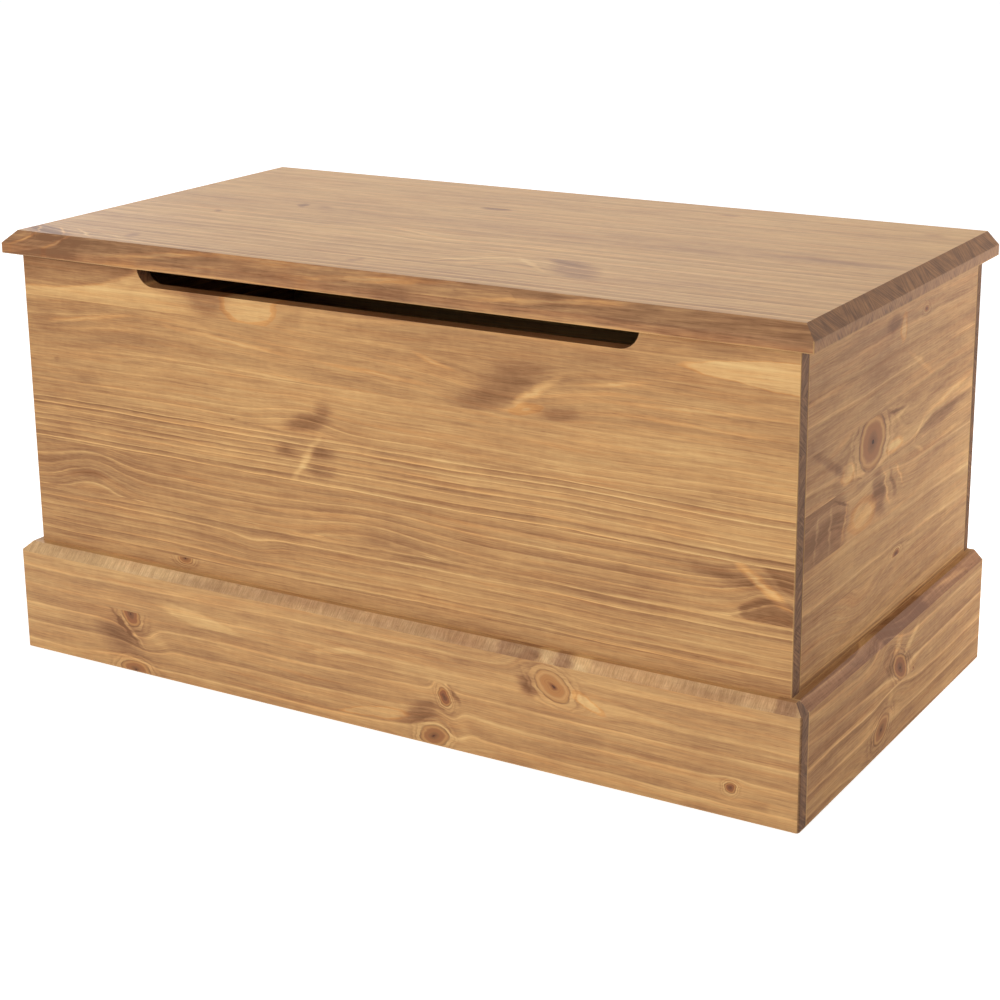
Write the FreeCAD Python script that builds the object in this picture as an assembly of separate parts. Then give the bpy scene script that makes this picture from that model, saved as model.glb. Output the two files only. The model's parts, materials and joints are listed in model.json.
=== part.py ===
import FreeCAD, Part
import math
import os

# A pine blanket box with a lift-up lid. Millimetres, +Z up, +X to the right, front towards -Y.
# The origin is on the floor, at the middle of the box from side to side and from the plinth to the hinges.

# Driving sizes of the carcass
carcass_width = 828.0
carcass_depth = 434.0
carcass_height = 412.0
board = 16.0
back_board = 12.0

# Driving sizes of the plinth
plinth_height = 113.0
plinth_board = 16.0
plinth_chamfer = 9.0
plinth_corner_radius = 3.0

# Driving sizes of the lid
lid_thickness = 22.0
lid_overhang_side = 15.5
lid_overhang_front = 12.5
lid_chamfer = 12.0

# Finger slot in the top edge of the front panel, with quarter round ends
slot_straight = 500.0
slot_depth = 19.0

# Eased edges of the boards
arris = 1.0
lid_arris = 1.2

# Base panel and the cleats that carry it
base_thickness = 9.0
base_underside = 60.0
base_gap = 0.5
cleat = 20.0

# Battens under the lid
batten_width = 44.0
batten_thickness = 16.0
batten_chamfer = 5.0
batten_end_gap = 45.0
batten_centre_share = 0.4

# Hidden fastenings have flat sides, so that many of them stay light
fastening_sides = 8

# Countersunk wood screws: shank radius, head radius and length of each kind
screw_point_share = 0.3
board_screw_radius = 2.0
board_screw_head = 4.0
back_screw_length = 38.0
plinth_screw_length = 27.0
batten_screw_length = 30.0
fitting_screw_radius = 1.5
fitting_screw_head = 2.8
fitting_screw_length = 12.0

# Dowels in the front corners
dowel_radius = 4.0
dowel_in_front = 10.0
dowel_in_side = 22.0
dowel_end_room = 1.0

# Butt hinges
hinge_length = 60.0
hinge_leaf = 1.5
hinge_land = 1.5
hinge_leaf_corner = 2.0
hinge_knuckle_radius = 3.0
hinge_pin_radius = 1.5
hinge_pin_head = 0.8
hinge_face_gap = 0.4
hinge_knuckle_gap = 0.3
hinge_knuckles = 3
hinge_place_share = 0.35

# Slotted lid stay on the right side
stay_open_angle = 95.0
stay_closed_angle = 18.0
stay_lid_drop = 13.0
stay_base_gap = 54.0
stay_arm_width = 16.0
stay_arm_thickness = 2.0
stay_plate_thickness = 2.0
stay_plate_length = 44.0
stay_plate_width = 16.0
stay_stud_radius = 3.0
stay_collar_radius = 5.0
stay_collar_height = 1.2
stay_head_radius = 5.5
stay_head_height = 2.0
stay_rivet_radius = 2.5
stay_rivet_head_radius = 4.5
stay_rivet_head_height = 1.2
stay_bracket_thickness = 2.0
stay_bracket_width = 26.0
stay_bracket_foot = 20.0
stay_bend_share = 0.8
stay_slot_end_wall = 6.0

# Clearances
tight_fit = 0.02
running_fit = 0.06
sliding_gap = 0.3
stay_start_room = 2.0
cut_overrun = 2.0

# How many fastenings, and where they lie along what they fasten
dowel_shares = (0.15, 0.5, 0.85)
back_screw_shares = (0.1, 0.5, 0.9)
plinth_front_screw_shares = (0.1, 0.5, 0.9)
plinth_side_screw_shares = (0.25, 0.75)
batten_screw_shares = (0.12, 0.5, 0.88)
hinge_screw_shares = (0.15, 0.5, 0.85)
bracket_screw_shares = (0.22, 0.78)
plinth_screw_height_share = 0.35

X = FreeCAD.Vector(1, 0, 0)
Y = FreeCAD.Vector(0, 1, 0)
Z = FreeCAD.Vector(0, 0, 1)

# Planes that the boards share, from front to rear
depth_overall = plinth_board + carcass_depth + hinge_face_gap + 2 * hinge_knuckle_radius
plinth_front_y = -depth_overall / 2
front_y = plinth_front_y + plinth_board
front_inner_y = front_y + board
rear_y = front_y + carcass_depth
rear_inner_y = rear_y - back_board
side_x = carcass_width / 2
side_inner_x = side_x - board
hinge_y = rear_y + hinge_face_gap + hinge_knuckle_radius
hinge_z = carcass_height
base_top = base_underside + base_thickness


def vector(x, y, z):
    return FreeCAD.Vector(x, y, z)


def block(x0, x1, y0, y1, z0, z1):
    """A straight board between six planes."""
    return Part.makeBox(x1 - x0, y1 - y0, z1 - z0, vector(x0, y0, z0))


def edges_where(shape, test):
    """The straight edges whose two ends both pass the test."""
    found = []
    for edge in shape.Edges:
        ends = [vertex.Point for vertex in edge.Vertexes]
        if len(ends) == 2 and all(test(point) for point in ends):
            found.append(edge)
    return found


def near(a, b):
    return abs(a - b) < tight_fit / 2


def upright_edges(shape, test):
    """The vertical edges that pass the test."""
    found = []
    for edge in edges_where(shape, test):
        low, high = [vertex.Point for vertex in edge.Vertexes]
        if near(low.x, high.x) and near(low.y, high.y):
            found.append(edge)
    return found


def cylinder(radius, start, direction, length):
    return Part.makeCylinder(radius, length, start, direction)


def prism(points, direction):
    """A closed outline pushed along a direction."""
    wire = Part.makePolygon(points + [points[0]])
    return Part.Face(wire).extrude(direction)


def group(shapes):
    return Part.makeCompound(shapes)


# Fastenings


def faceted_pin(rings, start, direction):
    """A straight pin with flat sides. Each ring is a height from the start and a radius."""
    outlines = []
    for height, radius in rings:
        corners = []
        for index in range(fastening_sides):
            angle = 2 * math.pi * index / fastening_sides
            corners.append(vector(radius * math.cos(angle), radius * math.sin(angle), height))
        outlines.append(corners)
    faces = [Part.Face(Part.makePolygon(ring + [ring[0]])) for ring in (outlines[0], outlines[-1])]
    for low, high in zip(outlines, outlines[1:]):
        for index in range(fastening_sides):
            after = (index + 1) % fastening_sides
            side = [low[index], low[after], high[after], high[index], low[index]]
            faces.append(Part.Face(Part.makePolygon(side)))
    pin = Part.Solid(Part.Shell(faces))
    if pin.Volume < 0:
        pin.reverse()
    pin.Placement = FreeCAD.Placement(start, FreeCAD.Rotation(Z, direction))
    return pin


def screw(start, direction, radius, head, length):
    """A countersunk screw with its head flush at the start."""
    point = radius * screw_point_share
    rings = [(0, head), (head - radius, radius), (length - radius, radius), (length, point)]
    return faceted_pin(rings, start, direction)


def screw_hole(start, direction, radius, head, length):
    """The cutter for a screw's hole: the same form with a tight fit all round."""
    wide = radius + tight_fit
    cone = head - radius
    rings = [(-cut_overrun, head + tight_fit), (tight_fit, head + tight_fit), (cone + tight_fit, wide)]
    rings += [(length + tight_fit, wide)]
    return faceted_pin(rings, start, direction)


def screw_set(places, radius, head, length):
    return [screw(start, direction, radius, head, length) for start, direction in places]


def drill(shape, places, radius, head, length):
    """Cuts the countersunk holes of a set of screws."""
    for start, direction in places:
        shape = shape.cut(screw_hole(start, direction, radius, head, length))
    return shape


def dowel(start, length, radius):
    return faceted_pin([(0, radius), (length, radius)], start, Y)


board_screw = (board_screw_radius, board_screw_head)
fitting_screw = (fitting_screw_radius, fitting_screw_head)


# Places of the fastenings


def back_screw_places(side):
    """Through the back panel into the rear end of a side panel."""
    x = side * (side_x - board / 2)
    return [(vector(x, rear_y, share * carcass_height), -Y) for share in back_screw_shares]


def plinth_front_screw_places():
    """From inside the carcass through the front panel into the front plinth board."""
    places = []
    for share in plinth_front_screw_shares:
        x = -side_inner_x + share * 2 * side_inner_x
        height = base_underside * plinth_screw_height_share
        places.append((vector(x, front_inner_y, height), -Y))
    return places


def plinth_side_screw_places(side):
    """From inside the carcass through a side panel into its plinth board."""
    places = []
    for share in plinth_side_screw_shares:
        y = front_inner_y + share * (rear_inner_y - front_inner_y)
        height = base_underside * plinth_screw_height_share
        places.append((vector(side * side_inner_x, y, height), side * X))
    return places


def dowel_starts(side):
    """The front ends of the dowels of one corner, inside the front panel."""
    x = side * (side_x - board / 2)
    return [vector(x, front_inner_y - dowel_in_front, share * carcass_height) for share in dowel_shares]


def batten_centre(side):
    return side * batten_centre_share * carcass_width


def batten_ends():
    return front_inner_y + batten_end_gap, rear_inner_y - batten_end_gap


def batten_screw_places(side):
    """Up through a batten into the lid."""
    places = []
    low_y, high_y = batten_ends()
    for share in batten_screw_shares:
        y = low_y + share * (high_y - low_y)
        places.append((vector(batten_centre(side), y, carcass_height - batten_thickness), Z))
    return places


def hinge_centre(side):
    return side * hinge_place_share * carcass_width


def hinge_screw_line():
    """The line of the hinge screws, in the middle of the part of the leaf that the wood carries."""
    leaf_front = rear_inner_y + hinge_land
    return (leaf_front + rear_y) / 2


def hinge_screw_places(side, direction):
    """Down through the fixed leaf into the back panel, or up through the moving leaf into the lid."""
    places = []
    for share in hinge_screw_shares:
        x = hinge_centre(side) - hinge_length / 2 + share * hinge_length
        places.append((vector(x, hinge_screw_line(), hinge_z), direction * Z))
    return places


# Boards of the carcass


def front_panel():
    """Lapped over the ends of the side panels, with the finger slot in its top edge."""
    panel = block(-side_x, side_x, front_y, front_inner_y, 0, carcass_height)
    panel = panel.makeFillet(arris, upright_edges(panel, lambda p: near(abs(p.x), side_x)))
    panel = panel.cut(finger_slot())
    for start in dowel_starts(-1) + dowel_starts(1):
        panel = panel.cut(dowel(start, dowel_in_front + cut_overrun, dowel_radius + tight_fit))
    return drill(panel, plinth_front_screw_places(), *board_screw, plinth_screw_length)


def finger_slot():
    """The slot as a cutter: a straight bottom with a quarter circle up to the edge at each end."""
    half = slot_straight / 2
    low = carcass_height - slot_depth
    high = carcass_height
    lean = slot_depth * math.sin(math.pi / 4)
    fall = slot_depth - slot_depth * math.cos(math.pi / 4)
    y = front_y - cut_overrun
    left_top = vector(-half - slot_depth, y, high)
    left_mid = vector(-half - lean, y, low + fall)
    left_low = vector(-half, y, low)
    right_low = vector(half, y, low)
    right_mid = vector(half + lean, y, low + fall)
    right_top = vector(half + slot_depth, y, high)
    lid_left = vector(-half - slot_depth, y, high + cut_overrun)
    lid_right = vector(half + slot_depth, y, high + cut_overrun)
    wire = Part.Wire([
        Part.Arc(left_top, left_mid, left_low).toShape(),
        Part.LineSegment(left_low, right_low).toShape(),
        Part.Arc(right_low, right_mid, right_top).toShape(),
        Part.LineSegment(right_top, lid_right).toShape(),
        Part.LineSegment(lid_right, lid_left).toShape(),
        Part.LineSegment(lid_left, left_top).toShape(),
    ])
    return Part.Face(wire).extrude(vector(0, board + 2 * cut_overrun, 0))


def back_panel():
    """Lapped over the rear ends of the side panels, let in at its top edge for the hinges."""
    panel = block(-side_x, side_x, rear_inner_y, rear_y, 0, carcass_height)
    panel = panel.makeFillet(arris, upright_edges(panel, lambda p: near(abs(p.x), side_x)))
    for side in (-1, 1):
        panel = panel.cut(hinge_recess(side, hinge_z - hinge_leaf, hinge_z + cut_overrun))
        panel = drill(panel, hinge_screw_places(side, -1), *fitting_screw, fitting_screw_length)
        panel = drill(panel, back_screw_places(side), *board_screw, back_screw_length)
    return panel


def hinge_recess(side, low, high):
    """The shallow housing of one hinge leaf, open at the rear."""
    half = hinge_length / 2
    x = hinge_centre(side)
    recess = block(x - half, x + half, rear_inner_y + hinge_land, rear_y + cut_overrun, low, high)
    corners = upright_edges(recess, lambda p: near(p.y, rear_inner_y + hinge_land))
    return recess.makeFillet(hinge_leaf_corner, corners)


def side_panel(side):
    """Between the front and back panels, with its grain running from front to rear."""
    x0, x1 = sorted((side * side_inner_x, side * side_x))
    panel = block(x0, x1, front_inner_y, rear_inner_y, 0, carcass_height)
    hole_length = dowel_in_front + dowel_in_side + dowel_end_room
    for start in dowel_starts(side):
        panel = panel.cut(dowel(start, hole_length, dowel_radius + tight_fit))
    panel = drill(panel, back_screw_places(side), *board_screw, back_screw_length)
    panel = drill(panel, plinth_side_screw_places(side), *board_screw, plinth_screw_length)
    if side > 0:
        panel = drill(panel, stay_plate_screw_places(), *fitting_screw, fitting_screw_length)
    return panel


def base_panel():
    """Rests on the four cleats, with a little room all round."""
    half = side_inner_x - base_gap
    return block(-half, half, front_inner_y + base_gap, rear_inner_y - base_gap, base_underside, base_top)


def long_cleat(inner_y, direction):
    """Front or back cleat, glued to its panel. direction is from the room towards the panel."""
    y0, y1 = sorted((inner_y, inner_y - direction * cleat))
    return block(-side_inner_x, side_inner_x, y0, y1, base_underside - cleat, base_underside)


def side_cleat(side):
    """Left or right cleat, glued between the long ones."""
    x0, x1 = sorted((side * side_inner_x, side * (side_inner_x - cleat)))
    y0 = front_inner_y + cleat
    y1 = rear_inner_y - cleat
    return block(x0, x1, y0, y1, base_underside - cleat, base_underside)


def corner_dowels():
    length = dowel_in_front + dowel_in_side
    return group([dowel(start, length, dowel_radius) for start in dowel_starts(-1) + dowel_starts(1)])


# Plinth


def plinth_front():
    """Across the front and over the ends of the side plinths. Its chamfer turns round both ends."""
    half = side_x + plinth_board
    skirt = block(-half, half, plinth_front_y, front_y, 0, plinth_height)
    skirt = skirt.makeFillet(plinth_corner_radius, upright_edges(skirt, lambda p: near(p.y, plinth_front_y)))
    skirt = skirt.cut(bevel(vector(0, plinth_front_y, plinth_height), -Y, half))
    for side in (-1, 1):
        skirt = skirt.cut(bevel(vector(side * half, front_y, plinth_height), side * X, plinth_board))
    return drill(skirt, plinth_front_screw_places(), *board_screw, plinth_screw_length)


def bevel(corner, outward, half_length):
    """A cutter for the chamfer along a top edge: corner is a point of the edge, outward points out of it."""
    along = outward.cross(Z)
    inner = corner - outward * plinth_chamfer
    low = corner - Z * plinth_chamfer
    points = [
        inner,
        low,
        low + outward * cut_overrun,
        corner + outward * cut_overrun + Z * cut_overrun,
        inner + Z * cut_overrun,
    ]
    start = along * (-half_length - cut_overrun)
    return prism([point + start for point in points], along * (2 * (half_length + cut_overrun)))


def plinth_side(side):
    """From the front plinth board to the rear face, chamfered along its top outer edge."""
    x0, x1 = sorted((side * side_x, side * (side_x + plinth_board)))
    skirt = block(x0, x1, front_y, rear_y, 0, plinth_height)
    middle = (front_y + rear_y) / 2
    corner = vector(side * (side_x + plinth_board), middle, plinth_height)
    skirt = skirt.cut(bevel(corner, side * X, carcass_depth / 2))
    return drill(skirt, plinth_side_screw_places(side), *board_screw, plinth_screw_length)


# Lid


def lid_panel():
    """One board, chamfered along its front and both ends, let in underneath for the hinges."""
    half = side_x + lid_overhang_side
    lid_front_y = front_y - lid_overhang_front
    top = carcass_height + lid_thickness
    lid = block(-half, half, lid_front_y, rear_y, carcass_height, top)
    rim = edges_where(lid, lambda p: near(p.z, top))
    rim = [e for e in rim if not all(near(v.Point.y, rear_y) for v in e.Vertexes)]
    lid = lid.makeChamfer(lid_chamfer, rim)
    shoulder = top - lid_chamfer
    soft = edges_where(lid, lambda p: near(p.z, shoulder))
    soft += edges_where(lid, lambda p: near(p.y, lid_front_y) and near(abs(p.x), half))
    lid = lid.makeFillet(lid_arris, soft)
    for side in (-1, 1):
        lid = lid.cut(hinge_recess(side, hinge_z - cut_overrun, hinge_z + hinge_leaf))
        lid = drill(lid, hinge_screw_places(side, 1), *fitting_screw, fitting_screw_length)
        lid = drill(lid, batten_screw_places(side), *board_screw, batten_screw_length)
    return drill(lid, bracket_screw_places(), *fitting_screw, fitting_screw_length)


def lid_batten(side):
    """Across the grain under the lid, with its lower edges chamfered."""
    half = batten_width / 2
    x = batten_centre(side)
    low_y, high_y = batten_ends()
    low_z = carcass_height - batten_thickness
    batten = block(x - half, x + half, low_y, high_y, low_z, carcass_height)
    lower = edges_where(batten, lambda p: near(p.z, low_z))
    batten = batten.makeChamfer(batten_chamfer, lower)
    return drill(batten, batten_screw_places(side), *board_screw, batten_screw_length)


# Hinges


def hinge_knuckle_span(index):
    """Low and high ends of one knuckle along the pin, measured from the middle of the hinge."""
    pitch = hinge_length / hinge_knuckles
    low = -hinge_length / 2 + index * pitch + hinge_knuckle_gap / 2
    return low, low + pitch - hinge_knuckle_gap


def hinge_leaf_body(side, direction):
    """One leaf with its knuckles: direction -1 is the fixed leaf under the joint, 1 the moving one above."""
    x = hinge_centre(side)
    half = hinge_length / 2
    low, high = sorted((hinge_z, hinge_z + direction * hinge_leaf))
    leaf_front = rear_inner_y + hinge_land + tight_fit
    leaf_rear = hinge_y - hinge_knuckle_radius - sliding_gap
    half_plate = half - tight_fit
    plate = block(x - half_plate, x + half_plate, leaf_front, leaf_rear, low, high)
    leaf = plate.makeFillet(hinge_leaf_corner, upright_edges(plate, lambda p: near(p.y, leaf_front)))
    first = 0 if direction < 0 else 1
    bore_radius = hinge_pin_radius + (tight_fit if direction < 0 else running_fit)
    for index in range(first, hinge_knuckles, 2):
        knuckle_low, knuckle_high = hinge_knuckle_span(index)
        tab = block(x + knuckle_low, x + knuckle_high, leaf_rear - hinge_leaf, hinge_y, low, high)
        start = vector(x + knuckle_low, hinge_y, hinge_z)
        roll = cylinder(hinge_knuckle_radius, start, X, knuckle_high - knuckle_low)
        leaf = leaf.fuse(tab.fuse(roll))
    bore = cylinder(bore_radius, vector(x - hinge_length, hinge_y, hinge_z), X, 2 * hinge_length)
    leaf = leaf.cut(bore).removeSplitter()
    return drill(leaf, hinge_screw_places(side, direction), *fitting_screw, fitting_screw_length)


def hinge_pin(side):
    """The pin through all knuckles, with a low button head at its outer end."""
    x = hinge_centre(side)
    half = hinge_length / 2 - hinge_knuckle_gap / 2
    shank = cylinder(hinge_pin_radius, vector(x - half, hinge_y, hinge_z), X, 2 * half)
    head_radius = (hinge_pin_radius + hinge_knuckle_radius) / 2
    head = cylinder(head_radius, vector(x + side * half, hinge_y, hinge_z), side * X, hinge_pin_head)
    return shank.fuse(head).removeSplitter()


# Lid stay: a slotted arm hung from the lid, that slides on a stud in the side panel. Its pivot and its stud
# lie equally far from the hinge axis, so the arm turns by half the lid's angle. The closed angle is the one
# between them, seen from the hinge, and the arm is as long as the room above the base allows.
stay_slot_radius = stay_stud_radius + sliding_gap
stay_end = stay_slot_radius + stay_slot_end_wall
stay_open_length = carcass_height - base_top - stay_lid_drop - stay_base_gap - stay_end
stay_reach = stay_open_length / (2 * math.sin(math.radians(stay_closed_angle + stay_open_angle) / 2))
stay_closed_length = 2 * stay_reach * math.sin(math.radians(stay_closed_angle) / 2)
stay_pivot_angle = math.asin(stay_lid_drop / stay_reach)
stay_stud_angle = stay_pivot_angle + math.radians(stay_closed_angle)
stay_pivot_y = hinge_y - stay_reach * math.cos(stay_pivot_angle)
stay_pivot_z = hinge_z - stay_lid_drop
stay_stud_y = hinge_y - stay_reach * math.cos(stay_stud_angle)
stay_stud_z = hinge_z - stay_reach * math.sin(stay_stud_angle)

# Planes of the stay, from the side panel inwards
stay_plate_x = side_inner_x - stay_plate_thickness
stay_arm_outer_x = stay_plate_x - stay_collar_height - sliding_gap
stay_arm_inner_x = stay_arm_outer_x - stay_arm_thickness
stay_flange_outer_x = stay_arm_inner_x - sliding_gap
stay_flange_inner_x = stay_flange_outer_x - stay_bracket_thickness


def slotted_bar(radius, low, high, x0, x1):
    """A bar with round ends about two centres, low and high along Z, between two planes across X."""
    straight = block(x0, x1, -radius, radius, low, high)
    near_end = cylinder(radius, vector(x0, 0, low), X, x1 - x0)
    far_end = cylinder(radius, vector(x0, 0, high), X, x1 - x0)
    return straight.fuse([near_end, far_end]).removeSplitter()


def stay_arm():
    """Flat bar with a pivot hole and a long slot, whose lower end meets the stud when the lid is open."""
    slot_low = stay_closed_length - stay_start_room
    slot_high = stay_open_length
    bar_end = slot_high + stay_end - stay_arm_width / 2
    x0 = stay_arm_inner_x
    x1 = stay_arm_outer_x
    bar = slotted_bar(stay_arm_width / 2, 0, bar_end, x0, x1)
    slot = slotted_bar(stay_slot_radius, slot_low, slot_high, x0 - cut_overrun, x1 + cut_overrun)
    through = x1 - x0 + 2 * cut_overrun
    hole = cylinder(stay_rivet_radius + running_fit, vector(x0 - cut_overrun, 0, 0), X, through)
    bar = bar.cut(slot).cut(hole)
    down = vector(0, stay_stud_y - stay_pivot_y, stay_stud_z - stay_pivot_z)
    turn = FreeCAD.Rotation(Z, down)
    bar.Placement = FreeCAD.Placement(vector(0, stay_pivot_y, stay_pivot_z), turn)
    return bar


def stay_stud():
    """Stud on the side plate: a collar, the shank that the slot slides on, and a flat head."""
    centre = vector(stay_plate_x, stay_stud_y, stay_stud_z)
    collar = cylinder(stay_collar_radius, centre, -X, stay_collar_height)
    reach = stay_plate_x - stay_flange_outer_x
    shank = cylinder(stay_stud_radius, centre, -X, reach)
    head_start = vector(stay_flange_outer_x, stay_stud_y, stay_stud_z)
    head = cylinder(stay_head_radius, head_start, -X, stay_head_height)
    tenon = cylinder(stay_stud_radius, centre, X, stay_plate_thickness)
    return collar.fuse([shank, head, tenon]).removeSplitter()


def stay_plate_screw_places():
    """Above and below the stud, into the side panel."""
    places = []
    offset = stay_plate_length / 2 - stay_plate_width / 2
    for end in (-1, 1):
        places.append((vector(stay_plate_x, stay_stud_y, stay_stud_z + end * offset), X))
    return places


def stay_side_plate():
    """Plate with round ends on the side panel, with a hole that holds the stud."""
    half = stay_plate_length / 2 - stay_plate_width / 2
    plate = slotted_bar(stay_plate_width / 2, -half, half, stay_plate_x, side_inner_x)
    plate.Placement = FreeCAD.Placement(vector(0, stay_stud_y, stay_stud_z), FreeCAD.Rotation())
    hole_start = vector(stay_plate_x - cut_overrun, stay_stud_y, stay_stud_z)
    through = stay_plate_thickness + 2 * cut_overrun
    plate = plate.cut(cylinder(stay_stud_radius + tight_fit, hole_start, X, through))
    return drill(plate, stay_plate_screw_places(), *fitting_screw, fitting_screw_length)


def bracket_screw_places():
    """Up through the foot of the lid bracket into the lid."""
    places = []
    x = stay_flange_inner_x - stay_bracket_foot / 2
    for share in bracket_screw_shares:
        y = stay_pivot_y - stay_bracket_width / 2 + share * stay_bracket_width
        places.append((vector(x, y, carcass_height - stay_bracket_thickness), Z))
    return places


def stay_lid_bracket():
    """Bent angle under the lid: a foot screwed to the lid and a round-ended flange for the rivet."""
    half = stay_bracket_width / 2
    under = carcass_height - stay_bracket_thickness
    foot_end = stay_flange_inner_x - stay_bracket_foot
    y0 = stay_pivot_y - half
    y1 = stay_pivot_y + half
    foot = block(foot_end, stay_flange_outer_x, y0, y1, under, carcass_height)
    foot = foot.makeFillet(stay_bracket_thickness, upright_edges(foot, lambda p: near(p.x, foot_end)))
    x0 = stay_flange_inner_x
    thick = stay_bracket_thickness
    boss = stay_arm_width / 2
    flange = prism([
        vector(x0, y0, under),
        vector(x0, stay_pivot_y - boss, stay_pivot_z),
        vector(x0, stay_pivot_y + boss, stay_pivot_z),
        vector(x0, y1, under),
    ], thick * X)
    round_end = cylinder(boss, vector(x0, stay_pivot_y, stay_pivot_z), X, thick)
    bracket = foot.fuse([flange, round_end]).removeSplitter()
    bend = edges_where(bracket, lambda p: near(p.x, x0 + thick) and near(p.z, carcass_height))
    bracket = bracket.makeFillet(thick * stay_bend_share, bend)
    hole_start = vector(x0 - cut_overrun, stay_pivot_y, stay_pivot_z)
    bracket = bracket.cut(cylinder(stay_rivet_radius + tight_fit, hole_start, X, thick + 2 * cut_overrun))
    return drill(bracket, bracket_screw_places(), *fitting_screw, fitting_screw_length)


def stay_rivet():
    """Rivet that hangs the arm on the lid bracket, headed on both sides."""
    inner = stay_flange_inner_x
    outer = stay_arm_outer_x + sliding_gap
    start = vector(inner, stay_pivot_y, stay_pivot_z)
    shank = cylinder(stay_rivet_radius, start, X, outer - inner)
    inner_head = cylinder(stay_rivet_head_radius, start, -X, stay_rivet_head_height)
    outer_start = vector(outer, stay_pivot_y, stay_pivot_z)
    outer_head = cylinder(stay_rivet_head_radius, outer_start, X, stay_rivet_head_height)
    return shank.fuse([inner_head, outer_head]).removeSplitter()


# All pieces, by name


def build_nodes():
    nodes = {}
    nodes["front_panel"] = front_panel()
    nodes["back_panel"] = back_panel()
    nodes["base_panel"] = base_panel()
    nodes["cleat_front"] = long_cleat(front_inner_y, -1)
    nodes["cleat_back"] = long_cleat(rear_inner_y, 1)
    nodes["plinth_front"] = plinth_front()
    nodes["lid_panel"] = lid_panel()
    for name, side in (("left", -1), ("right", 1)):
        nodes["side_panel_" + name] = side_panel(side)
        nodes["cleat_" + name] = side_cleat(side)
        nodes["plinth_" + name] = plinth_side(side)
        nodes["lid_batten_" + name] = lid_batten(side)
        nodes["hinge_" + name + "_fixed_leaf"] = hinge_leaf_body(side, -1)
        nodes["hinge_" + name + "_moving_leaf"] = hinge_leaf_body(side, 1)
        nodes["hinge_" + name + "_pin"] = hinge_pin(side)
    nodes["stay_arm"] = stay_arm()
    nodes["stay_stud"] = stay_stud()
    nodes["stay_side_plate"] = stay_side_plate()
    nodes["stay_lid_bracket"] = stay_lid_bracket()
    nodes["stay_rivet"] = stay_rivet()
    nodes["corner_dowels"] = corner_dowels()
    nodes.update(screw_nodes())
    return nodes


def screw_nodes():
    """Like screws of one use share a node, as separate solids."""
    plinth = plinth_front_screw_places() + plinth_side_screw_places(-1) + plinth_side_screw_places(1)
    battens = batten_screw_places(-1) + batten_screw_places(1)
    backs = back_screw_places(-1) + back_screw_places(1)
    boards = {
        "back_screws": (backs, back_screw_length),
        "plinth_screws": (plinth, plinth_screw_length),
        "batten_screws": (battens, batten_screw_length),
    }
    fittings = {
        "hinge_screws_carcass": hinge_screw_places(-1, -1) + hinge_screw_places(1, -1),
        "hinge_screws_lid": hinge_screw_places(-1, 1) + hinge_screw_places(1, 1),
        "stay_plate_screws": stay_plate_screw_places(),
        "stay_bracket_screws": bracket_screw_places(),
    }
    nodes = {}
    for name, (places, length) in boards.items():
        nodes[name] = group(screw_set(places, *board_screw, length))
    for name, places in fittings.items():
        nodes[name] = group(screw_set(places, *fitting_screw, fitting_screw_length))
    return nodes


os.makedirs("parts", exist_ok=True)
for node_name, node_shape in build_nodes().items():
    node_shape.exportStep("parts/" + node_name + ".step")
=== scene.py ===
import json
import math
from dataclasses import dataclass, field
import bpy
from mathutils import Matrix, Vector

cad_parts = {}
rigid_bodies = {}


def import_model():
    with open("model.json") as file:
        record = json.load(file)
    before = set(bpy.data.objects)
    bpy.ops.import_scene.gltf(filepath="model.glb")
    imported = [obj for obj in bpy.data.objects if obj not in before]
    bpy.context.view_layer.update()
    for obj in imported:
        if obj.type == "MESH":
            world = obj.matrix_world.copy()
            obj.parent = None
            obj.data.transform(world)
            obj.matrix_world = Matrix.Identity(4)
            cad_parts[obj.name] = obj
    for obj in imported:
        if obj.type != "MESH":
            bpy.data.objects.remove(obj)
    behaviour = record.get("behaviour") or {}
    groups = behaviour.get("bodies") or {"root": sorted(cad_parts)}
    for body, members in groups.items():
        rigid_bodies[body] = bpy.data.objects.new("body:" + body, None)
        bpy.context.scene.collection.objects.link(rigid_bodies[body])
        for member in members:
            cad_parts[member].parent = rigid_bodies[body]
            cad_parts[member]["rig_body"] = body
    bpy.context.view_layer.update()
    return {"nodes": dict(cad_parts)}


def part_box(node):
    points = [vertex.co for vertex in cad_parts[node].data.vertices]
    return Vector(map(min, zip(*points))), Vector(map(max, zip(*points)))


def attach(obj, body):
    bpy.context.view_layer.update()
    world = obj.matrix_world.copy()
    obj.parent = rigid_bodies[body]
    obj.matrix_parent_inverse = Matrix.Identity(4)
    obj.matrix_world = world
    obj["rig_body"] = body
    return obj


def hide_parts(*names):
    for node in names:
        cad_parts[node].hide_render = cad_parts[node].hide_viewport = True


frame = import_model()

from types import SimpleNamespace

import bmesh
import bpy
from mathutils import Matrix, Vector

bl_info = {
    "name": "Pine storage trunk",
    "version": (1, 0, 0),
    "blender": (4, 5, 0),
    "location": "3D View > Sidebar > Trunk",
    "description": "Finishes the boards and fittings of a waxed pine storage trunk",
    "category": "Object",
}

# Node coordinates are in millimetres, and the frame is in metres
MM = 1000.0
# A seam so far off that it limits nothing
NO_SEAM = 10000.0
# The distance from a knot, in shares of its size, where none is near
NO_KNOT = 100.0
# A colour ramp holds no values below zero, so those that may be are raised before and lowered after it
PITH_RAISE = 600.0
TONE_RAISE = 1.0
# Where the chamfer of a plinth board starts, above the floor
PLINTH_CHAMFER_FOOT = 104.0
# The default of a colour socket
PLAIN_WOOD = (0.5, 0.3, 0.1, 1.0)
# The height of the fine relief, in metres
WOOD_RELIEF = 0.00012
METAL_RELIEF = 0.00002


# Sizes and colours


def a_length(name, description, default):
    """The property of a size."""
    return bpy.props.FloatProperty(name=name, description=description, default=default, unit="LENGTH")


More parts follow.
